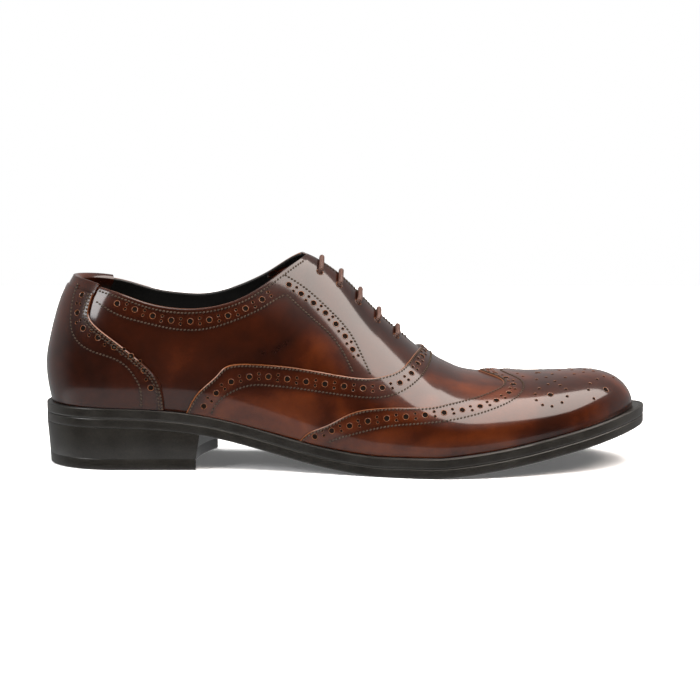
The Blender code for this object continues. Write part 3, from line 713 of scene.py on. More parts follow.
def pointRotation(tree):
    # Turns a piece so that its Z follows the surface's normal and its X the seam.
    facing = tree.node("GeometryNodeInputNamedAttribute", {"data_type": "FLOAT_VECTOR"}, Name="facing")
    way = tree.node("GeometryNodeInputNamedAttribute", {"data_type": "FLOAT_VECTOR"}, Name="way")
    up = tree.node("FunctionNodeAlignRotationToVector", {"axis": "Z"}, Vector=facing.outputs["Attribute"])
    turned = tree.node("FunctionNodeAlignRotationToVector", {"axis": "X", "pivot_axis": "Z"},
                       Rotation=up.outputs[0], Vector=way.outputs["Attribute"])
    return turned.outputs[0]


def stitchTree():
    tree = Tree("stitches", {"Length": "Float", "Width": "Float", "Height": "Float", "Slant": "Float",
                             "Thread": "Material"})
    points = tree.node("GeometryNodeMeshToPoints", Mesh=tree.input.outputs["Geometry"])
    bead = tree.node("GeometryNodeMeshUVSphere", Segments=6, Rings=4, Radius=0.5)
    lying = tree.node("GeometryNodeTransform", Geometry=bead.outputs["Mesh"],
                      Rotation=(0.0, math.radians(90), 0.0))
    size = tree.node("ShaderNodeCombineXYZ", X=tree.input.outputs["Length"],
                     Y=tree.input.outputs["Width"], Z=tree.input.outputs["Height"])
    sized = tree.node("GeometryNodeTransform", Geometry=lying.outputs["Geometry"], Scale=size.outputs[0])
    slant = tree.node("ShaderNodeCombineXYZ", X=0.0, Y=0.0, Z=tree.input.outputs["Slant"])
    slanted = tree.node("GeometryNodeTransform", Geometry=sized.outputs["Geometry"],
                        Rotation=slant.outputs[0])
    copies = tree.node("GeometryNodeInstanceOnPoints", Points=points.outputs["Points"],
                       Instance=slanted.outputs["Geometry"], Rotation=pointRotation(tree))
    real = tree.node("GeometryNodeRealizeInstances", Geometry=copies.outputs["Instances"])
    soft = tree.node("GeometryNodeSetShadeSmooth", Geometry=real.outputs["Geometry"])
    done = tree.node("GeometryNodeSetMaterial", Geometry=soft.outputs["Geometry"],
                     Material=tree.input.outputs["Thread"])
    tree.tree.links.new(done.outputs["Geometry"], tree.output.inputs["Geometry"])
    return tree


def punchTree():
    # Punched holes: a pressed rim of leather round a dark floor. The floor is painted shade: a dark disc
    # just above the leather that stands in for the shade inside a real hole.
    tree = Tree("punched holes", {"Sides": "Int", "Rim": "Float", "Floor": "Float",
                                  "Leather": "Material", "Inside": "Material"})
    points = tree.node("GeometryNodeMeshToPoints", Mesh=tree.input.outputs["Geometry"])
    rod = tree.node("GeometryNodeMeshCylinder", Vertices=tree.input.outputs["Sides"],
                    Side_Segments=4, Radius=1.0, Depth=2.0)
    coloured = tree.node("GeometryNodeSetMaterial", Geometry=rod.outputs["Mesh"],
                         Material=tree.input.outputs["Leather"])
    # painted shade: the cylinder's top becomes the hole's dark floor, in place of the shade inside a real
    # hole
    dark = tree.node("GeometryNodeSetMaterial", Geometry=coloured.outputs["Geometry"],
                     Selection=rod.outputs["Top"], Material=tree.input.outputs["Inside"])
    place = tree.node("GeometryNodeInputPosition")
    parts = tree.node("ShaderNodeSeparateXYZ", Vector=place.outputs[0])

    def ramp(low, high, bottom, top):
        made = tree.node("ShaderNodeMapRange", Value=parts.outputs["Z"], From_Min=low,
                         From_Max=high, To_Min=bottom, To_Max=top)
        return made.outputs["Result"]

    def maths(operation, a, b):
        return tree.node("ShaderNodeMath", {"operation": operation}, _0=a, _1=b).outputs[0]

    wide = ramp(-0.5, 1.0, 1.16, 0.94)
    foot = ramp(-1.0, -0.5, -0.0004, -0.00002)
    rise = ramp(-0.5, 0.0, 0.0, tree.input.outputs["Rim"])
    fall = ramp(0.5, 1.0, 0.0, maths("SUBTRACT", tree.input.outputs["Floor"], tree.input.outputs["Rim"]))
    spot = tree.node("ShaderNodeCombineXYZ", X=maths("MULTIPLY", parts.outputs["X"], wide),
                     Y=maths("MULTIPLY", parts.outputs["Y"], wide),
                     Z=maths("ADD", maths("ADD", foot, rise), fall))
    marked = tree.node("GeometryNodeStoreNamedAttribute", {"data_type": "FLOAT", "domain": "POINT"},
                       Geometry=dark.outputs["Geometry"], Name="rim", Value=ramp(-0.1, 0.4, 0.0, 0.8))
    shaped = tree.node("GeometryNodeSetPosition", Geometry=marked.outputs["Geometry"],
                       Position=spot.outputs[0])
    radius = tree.node("GeometryNodeInputNamedAttribute", {"data_type": "FLOAT"}, Name="holeRadius")
    size = tree.node("ShaderNodeCombineXYZ", X=radius.outputs["Attribute"],
                     Y=radius.outputs["Attribute"], Z=1.0)
    copies = tree.node("GeometryNodeInstanceOnPoints", Points=points.outputs["Points"],
                       Instance=shaped.outputs["Geometry"], Rotation=pointRotation(tree),
                       Scale=size.outputs[0])
    real = tree.node("GeometryNodeRealizeInstances", Geometry=copies.outputs["Instances"])
    soft = tree.node("GeometryNodeSetShadeSmooth", Geometry=real.outputs["Geometry"])
    tree.tree.links.new(soft.outputs["Geometry"], tree.output.inputs["Geometry"])
    return tree


class Wire:
    # A number, colour or vector on its way through a material.
    def __init__(self, tree, socket):
        self.tree, self.socket = tree, socket

    def node(self, kind, settings=None, out=0, **links):
        made = self.tree.nodes.new(kind)
        for key, value in (settings or {}).items():
            if key == "stops":
                ramp = made.color_ramp
                for spot, colour in value[2:]:
                    ramp.elements.new(spot)
                for element, (spot, colour) in zip(ramp.elements, sorted(value)):
                    element.position = spot
                    element.color = (*colour, 1.0)
            else:
                setattr(made, key, value)
        for key, value in links.items():
            spot = socketOf(made, key)
            if isinstance(value, Wire):
                self.tree.links.new(value.socket, spot)
            elif isinstance(value, tuple) and len(value) == 3 and spot.type == "RGBA":
                spot.default_value = (*value, 1.0)
            else:
                spot.default_value = value
        return Wire(self.tree, made.outputs[out])

    def maths(self, operation, a, b):
        return self.node("ShaderNodeMath", {"operation": operation}, _0=a, _1=b)

    def __add__(self, other):
        return self.maths("ADD", self, other)

    def __radd__(self, other):
        return self.maths("ADD", other, self)

    def __sub__(self, other):
        return self.maths("SUBTRACT", self, other)

    def __rsub__(self, other):
        return self.maths("SUBTRACT", other, self)

    def __mul__(self, other):
        return self.maths("MULTIPLY", self, other)

    def __rmul__(self, other):
        return self.maths("MULTIPLY", other, self)

    def __truediv__(self, other):
        return self.maths("DIVIDE", self, other)

    def step(self, low, high, bottom=0.0, top=1.0):
        return self.node("ShaderNodeMapRange", {"interpolation_type": "SMOOTHSTEP"}, Value=self,
                         From_Min=low, From_Max=high, To_Min=bottom, To_Max=top)

    def mix(self, other, share):
        return self.node("ShaderNodeMix", {"data_type": "RGBA"}, 2, _0=share, _6=self, _7=other)

    def noise(self, scale, detail=2.0, rough=0.5, warp=0.0):
        return self.node("ShaderNodeTexNoise", Vector=self, Scale=scale, Detail=detail,
                         Roughness=rough, Distortion=warp)


def startMaterial(name, roughness, coat=0.0, coatRoughness=0.1, specular=0.5):
    # A new material, its shader and its Object coordinates.
    material = bpy.data.materials.new(name)
    material.use_nodes = True
    tree = material.node_tree
    shader = tree.nodes["Principled BSDF"]
    shader.inputs["Roughness"].default_value = roughness
    shader.inputs["Coat Weight"].default_value = coat
    shader.inputs["Coat Roughness"].default_value = coatRoughness
    shader.inputs["Specular IOR Level"].default_value = specular
    place = Wire(tree, tree.nodes.new("ShaderNodeTexCoord").outputs["Object"])
    return material, shader, place


def finish(shader, colour, roughness=None, height=None, depth=0.0001):
    # Gives the shader its colour, its gloss and its fine relief.
    normal = None if height is None else height.node("ShaderNodeBump", Height=height, Distance=depth)
    for spot, value in (("Base Color", colour), ("Roughness", roughness), ("Normal", normal)):
        if value is not None:
            value.tree.links.new(value.socket, shader.inputs[spot])


# The polished leather of the upper
leather = {
    "dark": (0.010, 0.0022, 0.0009),
    "middle": (0.026, 0.0046, 0.0010),
    "light": (0.090, 0.0180, 0.0030),
    "cutEdge": (0.260, 0.0900, 0.0300),
    "roughness": 0.32,
    "coat": 1.0,
    "coatRoughness": 0.11,
    "specular": 0.12,
    "grainSize": 0.0009,
    "grainDepth": 0.000014,
    "patchSize": 0.055,
    "patchWeight": 0.84,
    "cloudScale": 160.0,
    "cloudWeight": 0.14,
    "speckSize": 0.0011,
    "speckWeight": 0.07,
    "toneShift": -0.025,
    "capShade": 0.03,          # how much lighter the cap is
    "burnish": 0.55,           # how dark it is rubbed along seams
    "seamDip": 5.0,            # how far a seam presses in, in grain depths
    "edgeShow": 0.75,
}


def leatherMaterial(name, shade=0.0):
    material, shader, place = startMaterial(name, leather["roughness"], leather["coat"],
                                            leather["coatRoughness"], leather["specular"])
    patches = place.noise(1 / leather["patchSize"], 3.0, 0.55, 0.6)
    specks = place.noise(1 / leather["speckSize"], 3.0, 0.65)
    clouds = place.noise(leather["cloudScale"], 4.0, 0.6)
    tone = (patches * leather["patchWeight"] + clouds * leather["cloudWeight"]
            + specks * leather["speckWeight"] + leather["toneShift"] + shade)
    seam = place.node("ShaderNodeAttribute", {"attribute_name": "seam"}, 2)
    rim = place.node("ShaderNodeAttribute", {"attribute_name": "rim"}, 2)
    colour = tone.node("ShaderNodeValToRGB", {"stops": [
        (0.34, leather["dark"]), (0.74, leather["light"]), (0.52, leather["middle"])]}, Fac=tone)
    burnt = colour.mix(leather["dark"], seam * leather["burnish"])
    colour = burnt.mix(leather["cutEdge"], rim.step(0.25, 0.85) * leather["edgeShow"])
    grain = place.noise(1 / leather["grainSize"], 4.0, 0.6)
    pores = place.node("ShaderNodeTexVoronoi", {"feature": "F1"}, Vector=place,
                       Scale=1 / (leather["grainSize"] * 0.8))
    roughness = specks * 0.16 + (leather["roughness"] - 0.08)
    height = grain * 0.6 + pores * 0.4 - seam * leather["seamDip"]
    finish(shader, colour, roughness, height, leather["grainDepth"])
    return material


# The plain finishes: colours, gloss and grain; lines is the spacing of the sole's stacked layers
plainFinishes = {
    "black lining": dict(dark=(0.004, 0.004, 0.004), light=(0.014, 0.013, 0.012), roughness=0.5,
                         grainSize=0.0010, grainDepth=0.00004),
    "black sole edge": dict(dark=(0.0055, 0.0048, 0.0038), light=(0.021, 0.0185, 0.015),
                            roughness=0.34, grainSize=0.0008, grainDepth=0.00004, coat=0.2,
                            lines=0.0006),
    "sole underside": dict(dark=(0.014, 0.013, 0.012), light=(0.040, 0.038, 0.036), roughness=0.6,
                           grainSize=0.0012, grainDepth=0.00006),
    # painted shade: the near-black floor of each punched hole, in place of the shade inside it
    "punched hole": dict(dark=(0.003, 0.002, 0.0015), light=(0.010, 0.005, 0.003), roughness=0.8,
                         grainSize=0.0006, grainDepth=0.00003, specular=0.05),
    "stitching thread": dict(dark=(0.012, 0.008, 0.005), light=(0.074, 0.050, 0.034),
                             roughness=0.7, grainSize=0.0004, grainDepth=0.00003, specular=0.2),
}


def plainMaterial(name, dark, light, roughness, grainSize, grainDepth, coat=0.0, lines=0.0,
                  specular=0.5):
    material, shader, place = startMaterial(name, roughness, coat, 0.2, specular)
    spots = place.noise(1 / grainSize, 4.0, 0.6)
    clouds = place.noise(90.0, 3.0, 0.5)
    colour = spots.node("ShaderNodeValToRGB", {"stops": [(0.30, dark), (0.75, light)]},
                        Fac=spots * 0.6 + clouds * 0.4)
    height = spots
    if lines:
        parts = place.node("ShaderNodeSeparateXYZ", out=2, Vector=place)
        stacked = place.node("ShaderNodeCombineXYZ", X=0.0, Y=0.0, Z=parts)
        height = spots * 0.5 + stacked.noise(1 / lines, 2.0, 0.5) * 0.8
    finish(shader, colour, clouds * 0.25 + (roughness - 0.12), height, grainDepth)
    return material


# The waxed cord: lay is how many strands cross it in one diameter of its length
cordFinish = {
    "dark": (0.014, 0.005, 0.003),
    "middle": (0.052, 0.020, 0.013),
    "light": (0.130, 0.058, 0.036),
    "strands": 4.0,
    "lay": 2.2,
    "relief": 0.0002,
}


def cordMaterial():
    # Waxed round cord: two sets of strands that wind round it, from its own UV map.
    material, shader, place = startMaterial("waxed cord", 0.5, 0.15, 0.3)
    uv = place.node("ShaderNodeUVMap", {"uv_map": "UVMap"})
    turns = place.node("ShaderNodeSeparateXYZ", out=0, Vector=uv)
    length = place.node("ShaderNodeSeparateXYZ", out=1, Vector=uv)
    waves = []
    for lay in (cordFinish["lay"], -cordFinish["lay"]):
        angle = (turns * cordFinish["strands"] + length * lay) * (2 * math.pi)
        waves.append(angle.maths("SINE", angle, 0.0))
    weave = waves[0] * waves[1] * 0.5 + 0.5
    threads = place.noise(2600.0, 3.0, 0.6)
    tone = weave * 0.5 + threads * 0.5
    colour = tone.node("ShaderNodeValToRGB", {"stops": [
        (0.20, cordFinish["dark"]), (0.85, cordFinish["light"]), (0.5, cordFinish["middle"])]}, Fac=tone)
    finish(shader, colour, threads * 0.2 + 0.4, weave + threads * 0.3, cordFinish["relief"])
    return material


brownLeather = leatherMaterial("brown leather")
capLeather = leatherMaterial("cap leather", leather["capShade"])
plain = {name: plainMaterial(name, **values) for name, values in plainFinishes.items()}
blackLining, blackSole = plain["black lining"], plain["black sole edge"]
blackUnder, paintedHoleShade = plain["sole underside"], plain["punched hole"]
thread = plain["stitching thread"]
lace = cordMaterial()

print("materials made")
stitches = stitchTree()
punches = punchTree()

# Stitching and punched holes, in metres
needlework = {
    "stitchPitch": 0.00180,
    "stitchLength": 0.00142,
    "stitchWidth": 0.00100,
    "stitchHeight": 0.00090,
    "stitchSlant": 0.40,
    "firstRow": 0.0012,        # distance of the seam from a panel's edge
    "secondRow": 0.0026,
    "lift": 0.00005,           # height of a seam that lies on the quarters
}
punching = {
    "pitch": 0.0094,
    "facingPitch": 0.007708,
    "bigRadius": 0.00146,
    "smallRadius": 0.00076,
    "pairSpread": 0.00130,
    "rim": 0.00014,            # height of the pressed rim above the leather
    "floor": 0.00007,
    "room": 1.3,               # least distance of two holes, in sums of their radii
    "sideStart": 0.3,          # where a row's first big hole lies, in pitches
    "panelStart": 0.35,
}

# Seams by (station, share of the half girth), taken on the outer side of the shoe
collarHoleLine = [(0.094, 0.500), (0.130, 0.528), (0.167, 0.558), (0.203, 0.582), (0.239, 0.587),
                  (0.275, 0.572), (0.308, 0.540), (0.336, 0.495), (0.363, 0.438), (0.386, 0.372)]
collarLowLine = [(0.070, 0.500), (0.118, 0.562), (0.173, 0.600), (0.232, 0.620), (0.273, 0.607),
                 (0.327, 0.540), (0.363, 0.473), (0.388, 0.412), (0.405, 0.372)]
facingTopLine = [(0.401, 0.277), (0.441, 0.312), (0.479, 0.350), (0.510, 0.387), (0.528, 0.445),
                 (0.543, 0.510)]
facingHoleLine = [(0.403, 0.315), (0.426, 0.340), (0.446, 0.356), (0.469, 0.372), (0.489, 0.395),
                  (0.505, 0.425), (0.515, 0.456), (0.525, 0.495)]
facingLowLine = [(0.405, 0.372), (0.423, 0.397), (0.449, 0.426), (0.479, 0.452), (0.497, 0.486),
                 (0.515, 0.550)]
counterInnerLine = [(0.023, 0.415), (0.033, 0.542), (0.047, 0.638), (0.069, 0.682), (0.123, 0.722),
                    (0.152, 0.765), (0.165, 0.830), (0.166, 0.980)]
counterHoleLine = [(0.043, 0.450), (0.043, 0.525), (0.055, 0.600), (0.080, 0.638), (0.107, 0.669),
                   (0.139, 0.700), (0.165, 0.735), (0.181, 0.790), (0.184, 0.930)]
vampLowLine = [(0.284, 0.975), (0.301, 0.867), (0.322, 0.798), (0.346, 0.758), (0.383, 0.730),
               (0.433, 0.700), (0.482, 0.670), (0.533, 0.628), (0.568, 0.580), (0.595, 0.510),
               (0.620, 0.387), (0.634, 0.250), (0.641, 0.000)]
vampHoleLine = [(0.266, 0.972), (0.287, 0.865), (0.308, 0.783), (0.334, 0.740), (0.366, 0.712),
                (0.396, 0.695), (0.428, 0.677), (0.461, 0.655), (0.492, 0.630), (0.525, 0.598),
                (0.558, 0.552), (0.586, 0.488), (0.605, 0.400), (0.617, 0.292), (0.627, 0.150),
                (0.630, 0.000)]
wingLowLine = [(0.477, 0.950), (0.510, 0.838), (0.545, 0.760), (0.581, 0.712), (0.620, 0.674),
               (0.694, 0.585), (0.735, 0.528), (0.771, 0.450), (0.789, 0.350), (0.789, 0.205),
               (0.769, 0.078), (0.762, 0.000)]
wingHoleLine = [(0.446, 0.965), (0.469, 0.880), (0.497, 0.802), (0.525, 0.745), (0.555, 0.702),
                (0.586, 0.668), (0.613, 0.638), (0.642, 0.597), (0.673, 0.550), (0.703, 0.510),
                (0.735, 0.463), (0.761, 0.395), (0.775, 0.300), (0.773, 0.215), (0.761, 0.145),
                (0.745, 0.050), (0.742, 0.000)]
medallionBig = [(0.833, 0.435), (0.822, 0.065), (0.924, 0.470)]
medallionSmall = [
    (0.809, 0.408), (0.809, 0.478), (0.818, 0.540), (0.833, 0.572), (0.850, 0.548), (0.860, 0.485),
    (0.860, 0.390), (0.852, 0.325), (0.833, 0.295), (0.817, 0.342), (0.787, 0.083), (0.795, 0.142),
    (0.816, 0.205), (0.833, 0.172), (0.845, 0.110), (0.845, 0.255), (0.864, 0.200), (0.881, 0.137),
    (0.897, 0.105), (0.914, 0.070), (0.943, 0.167), (0.927, 0.210), (0.914, 0.285), (0.901, 0.355),
    (0.896, 0.445), (0.902, 0.575)]
medallionMiddle = [(0.860, 0.0), (0.881, 0.0), (0.902, 0.0)]


def holeRow(seam, pitch, out, start=0.5):
    # One big hole, then a pair of small ones across the row.
    big = seam.places(pitch, out, start)
    rows = [(*big, np.full(len(big[0]), punching["bigRadius"]))]
    for across in (-punching["pairSpread"], punching["pairSpread"]):
        small = seam.places(pitch, out, start + 0.5, across)
        rows.append((*small, np.full(len(small[0]), punching["smallRadius"])))
    return rows


def singleHoles(places, radius, out, sides=(-1, 1)):
    # Holes at single places, on both sides of the shoe or one.
    rows = []
    for side in sides:
        p = np.array([row[0] for row in places]) * soleLength
        q = np.array([row[1] for row in places]) * side
        rows.append((Seam(p, q).line(out), normals(p, q), np.tile([1.0, 0.0, 0.0], (len(p), 1)),
                     np.full(len(p), radius)))
    return rows


holePieces = []


def punch(name, rows, leatherHere, sides=14):
    # Makes the rows of holes of one piece, leaving out any that would touch.
    parts = [np.concatenate([row[k] for row in rows]) for k in range(4)]
    kept = []
    spots, radii = parts[0], parts[3]
    for n in np.argsort(-radii, kind="stable"):
        room = [punching["room"] * (radii[n] + radii[m]) for m in kept]
        if all(np.linalg.norm(spots[n] - spots[m]) > need for m, need in zip(kept, room)):
            kept.append(n)
    holes = pointCloud(name, *[part[kept] for part in parts])
    punches.use(holes, {"Sides": sides, "Rim": punching["rim"], "Floor": punching["floor"],
                        "Leather": leatherHere, "Inside": paintedHoleShade})
    holes.data.set_sharp_from_angle(angle=math.radians(60))
    holePieces.append(holes)


def distances(points, lines):
    # Distance from each point to the nearest of some dense lines.
    tree = KDTree(sum(len(line) for line in lines))
    n = 0
    for line in lines:
        for spot in line:
            tree.insert(spot, n)
            n += 1
    tree.balance()
    return np.array([tree.find(point)[2] for point in points])


def shadeSeams(piece, seams, rims):
    # Writes how near each point is to stitching, and to a cut edge.
    mesh = piece.data
    points = np.empty(len(mesh.vertices) * 3, np.float32)
    mesh.vertices.foreach_get("co", points)
    points = points.reshape(-1, 3)
    for label, lines, reach in (("seam", seams, 0.0030), ("rim", rims, 0.0011)):
        layer = mesh.attributes.new(label, "FLOAT", "POINT")
        if lines:
            near = 1 - smooth(distances(points, lines) / reach)
            layer.data.foreach_set("value", near.astype(np.float32))


threadRows = []


def stitchRow(seam, out):
    row = seam.places(needlework["stitchPitch"], out)
    threadRows.append(row)
    return row[0]


def refine(line, times=6):
    # The same line with more points between its own.
    at = np.linspace(0, len(line) - 1, (len(line) - 1) * times + 1)
    return np.stack([np.interp(at, np.arange(len(line)), line[:, k]) for k in range(3)], -1)


# How the quarters and their lining are laid out
quarter = {
    "lengthLines": 330,
    "girthLines": 92,
    "edgeLines": (0, 0.02, 0.06, 0.14, 0.25, 0.4, 0.6, 0.8, 1.0),
    "edgeReach": 0.016,        # share of the girth that the edge lines take up
    "slitLines": (0.0003, 0.001, 0.002, 0.0035),
    "slitFade": 0.004,
    "collarRow": 0.0024,       # stitching below the collar's edge
    "throatRow": 0.0020,       # stitching beside the throat
    "collarStart": 0.066,      # station where the collar's stitching leaves the counter
    "collarStop": 0.030,       # how far before the throat it ends, as a share of the length
    "throatStop": 0.008,       # how far inside the throat its stitching keeps
    "rimDrop": 0.0010,         # how far inside the leather the pale cut edge lies
}


def quarterGrids():
    turn = np.linspace(0, math.pi, quarter["lengthLines"])
    p = upperLength * (1 - np.cos(turn)) / 2
    top, end = throatTop * soleLength, throatEnd * soleLength
    p = np.unique(np.concatenate([p, [top, end], top - np.array(quarter["slitLines"])]))
    near = np.array(quarter["edgeLines"]) * quarter["edgeReach"]
    ways = np.concatenate([near[:-1], np.linspace(near[-1], 1, quarter["girthLines"])])
    grids = []
    for side in (-1, 1):
        edge = topEdge(p, side)
        place = np.repeat(p[:, None], len(ways), 1)
        girth = side * (edge[:, None] + (1 - edge[:, None]) * ways[None, :])
        run = along(surface(place, girth))
        opened = smooth((end - p) / quarter["slitFade"])[:, None]
        drop = upperWall / 2 * (1 - rolled(run, upperWall / 2)) * opened
        outer = skin(place, girth, -drop)
        inner = skin(place, girth, -upperWall + drop)
        grids.append((outer, inner, side > 0))
    return grids


def eyeletSpots():
    # Centre, outward axis and direction of each punched eyelet.
    spots = []
    for share in np.linspace(firstEyelet, lastEyelet, eyeletCount):
        p = np.array([share * soleLength])
        for side in (-1, 1):
            q = side * girthFromRidge(p, side, eyeletInset)
            spots.append((surface(p, q)[0] - [originFromBack, 0, 0], normals(p, q)[0]))
    return spots


quarters = sheet("quarters", quarterGrids(), [brownLeather, blackLining])
print("quarters shaped")


def edgeSeam(first, last, count, side):
    # The upper's top edge from one station to another.
    p = np.linspace(first, last, count) * soleLength
    return Seam(p, side * topEdge(p, side))


holes, seams, collarRims = [], [], []
for side in (-1, 1):
    holes += holeRow(seamThrough(collarHoleLine, side), punching["pitch"], 0.0)
    holes += holeRow(seamThrough(facingHoleLine, side), punching["facingPitch"], 0.0,
                     punching["sideStart"])
    for line in (collarLowLine, facingTopLine, facingLowLine):
        seams.append(stitchRow(seamThrough(line, side), needlework["lift"]))
    collarEdge = edgeSeam(quarter["collarStart"], throatTop - quarter["collarStop"], 300, side)
    seams.append(stitchRow(collarEdge.moved(-side * quarter["collarRow"]), needlework["lift"]))
    collarRims.append(refine(collarEdge.line(-quarter["rimDrop"]), 2))
    throatEdge = edgeSeam(throatTop + quarter["throatStop"], throatEnd - quarter["throatStop"], 200, side)
    seams.append(stitchRow(throatEdge.moved(-side * quarter["throatRow"]), needlework["lift"]))
spots, axes = zip(*eyeletSpots())
holes.append((np.array(spots), np.array(axes), np.tile([1.0, 0.0, 0.0], (len(spots), 1)),
              np.full(len(spots), eyeletRadius)))
punch("quarter-holes", holes, brownLeather)
shadeSeams(quarters, seams, collarRims)

# Panels that lie over the quarters
panel = {
    "girthLines": 221,
    "edgeRadius": 0.0008,
    "edgeShare": 0.35,         # share of the thickness that the edge keeps
    "under": -0.0001,          # the underside lies this much in the quarters
    "lap": 0.0002,             # how far the vamp runs under the wing cap
    "wingLines": 150,
    "vampLines": 70,
}

# Distances of the mesh lines from a panel's edge, close together where the edge is rolled
panelEdge = (0, 0.00008, 0.0002, 0.00036, 0.00056, 0.0008, 0.0011, 0.0015)


def edgeDistance(place, girth, seam):
    # Distance of each mesh point from a panel's edge.
    points = surface(place, girth).reshape(-1, 3)
    return distances(points, [refine(surface(seam.p, seam.q))]).reshape(place.shape)


def band(name, first, last, steps, thick, materials, ease=False):
    # A panel from one seam to the next, with its rear edge rolled down.
    q = np.linspace(-1, 1, panel["girthLines"])
    firstPlace, lastPlace = first(np.abs(q)) * soleLength, last(np.abs(q))
    near = np.array(panelEdge)
    way = np.linspace(0, 1, steps)
    way = np.sin(way * math.pi / 2) if ease else way
    start = firstPlace + near[-1] + 0.0004
    place = np.concatenate([firstPlace[:, None] + near[None, :],
                            start[:, None] + (lastPlace - start)[:, None] * way[None, :]], axis=1)
    place = np.minimum(place, np.maximum(lastPlace, firstPlace + 0.0001)[:, None])
    girth = np.repeat(q[:, None], place.shape[1], 1)
    seam = Seam(firstPlace, q)
    reach = edgeDistance(place, girth, seam)
    kept = panel["edgeShare"]
    out = (panelGap + thick) * (kept + (1 - kept) * rolled(reach, panel["edgeRadius"]))
    outer = skin(place, girth, out)
    inner = skin(place, girth, panel["under"])
    return sheet(name, [(outer, inner, False)], materials), seam


def bothSides(rows):
    # A seam from the outer feather line over the ridge to the inner one.
    rows = list(rows)
    if rows[0][1] > rows[-1][1]:
        rows = rows[::-1]
    mirror = [(p, -q) for p, q in rows if q > 0]
    return seamThrough(mirror[::-1] + rows)


def toeEnd(q):
    return np.full(len(q), upperLength)


def underWing(q):
    return wingEdge(q) * soleLength + panel["lap"]


wingHeight = panelGap + capThick
wing, wingSeam = band("wing-cap-leather", wingEdge, toeEnd, panel["wingLines"], capThick,
                      [capLeather], True)
print("wing cap shaped")
holes = holeRow(bothSides(wingHoleLine), punching["pitch"], wingHeight, punching["panelStart"])
holes += singleHoles(medallionBig, punching["bigRadius"], wingHeight)
holes += singleHoles(medallionSmall, punching["smallRadius"], wingHeight)
holes += singleHoles(medallionMiddle, punching["smallRadius"], wingHeight, (1,))
punch("wing-cap-holes", holes, capLeather)
lines = [stitchRow(wingSeam.moved(needlework["firstRow"]), wingHeight),
         stitchRow(bothSides(wingLowLine), wingHeight)]
shadeSeams(wing, lines, [refine(wingSeam.line(wingHeight))])
print("wing cap punched")

vampHeight = panelGap + vampThick
vamp, vampSeam = band("vamp-leather", vampEdge, underWing, panel["vampLines"], vampThick, [brownLeather])
holes = holeRow(bothSides(vampHoleLine), punching["pitch"], vampHeight, punching["panelStart"])
punch("vamp-holes", holes, brownLeather)
lines = [stitchRow(vampSeam.moved(needlework["firstRow"]), vampHeight),
         stitchRow(bothSides(vampLowLine), vampHeight)]
shadeSeams(vamp, lines, [refine(vampSeam.line(vampHeight))])
print("vamp punched")

# How the heel counter is laid out
counterShape = {
    "edgeLines": (0, 0.002, 0.006, 0.012, 0.02, 0.03),
    "girthLines": 88,
    "lengthLines": 74,
    "edgeShare": 0.3,
    "underTab": 0.0008,        # how far it runs up under the tab
}


def evenArcs(end, steps):
    # Places from the back seam to a station, evenly spaced over the round heel.
    fine = end * np.linspace(0, 1, 300) ** 2
    run = along(surface(fine, np.full(300, 0.7)), 0)
    return np.interp(np.linspace(0, run[-1], steps), run, fine)


def counterGrids():
    ways = np.concatenate([counterShape["edgeLines"], np.linspace(0.04, 1, counterShape["girthLines"])])
    kept = counterShape["edgeShare"]
    grids, edges = [], []
    for side in (-1, 1):
        place = np.stack([evenArcs(end, counterShape["lengthLines"])
                          for end in counterEdge(ways) * soleLength])
        fine = place.max() * np.linspace(0, 1, 160) ** 2
        collar = surface(fine, side * topEdge(fine, side))[..., 2]
        top = girthAtHeight(fine, side, collar - tabDepth + counterShape["underTab"])
        start = np.interp(place, fine, top)
        girth = side * (start + (1 - start) * ways[:, None])
        front = Seam(place[:, -1], girth[:, -1])
        edges.append(front)
        near = edgeDistance(place, girth, front)
        out = (panelGap + counterThick) * (kept + (1 - kept) * rolled(near, panel["edgeRadius"]))
        grids.append((skin(place, girth, out), skin(place, girth, panel["under"]), side > 0))
    return grids, edges


grids, counterEdges = counterGrids()
counter = sheet("counter-leather", grids, [brownLeather])
counterHeight = panelGap + counterThick
holes, lines, rims = [], [], []
for side, edge in zip((-1, 1), counterEdges):
    holes += holeRow(seamThrough(counterHoleLine, side), punching["pitch"], counterHeight,
                     punching["sideStart"])
    for distance in (needlework["firstRow"], needlework["secondRow"]):
        lines.append(stitchRow(edge.moved(-side * distance), counterHeight))
    lines.append(stitchRow(seamThrough(counterInnerLine, side), counterHeight))
    rims.append(refine(edge.line(counterHeight)))
punch("counter-holes", holes, brownLeather)
shadeSeams(counter, lines, rims)
print("heel counter punched")


# The tab: outside is its height above the quarters, flat how much its fold is pressed down
tabShape = {
    "outside": 0.0010,
    "bite": 0.0001,
    "flat": 0.62,
    "lengthLines": 34,
    "foldLines": 11,
    "edge": [(0.0, 0.0009), (0.0002, 0.0003), (0.0006, 0.0)],   # inset and drop of its lower edge
}


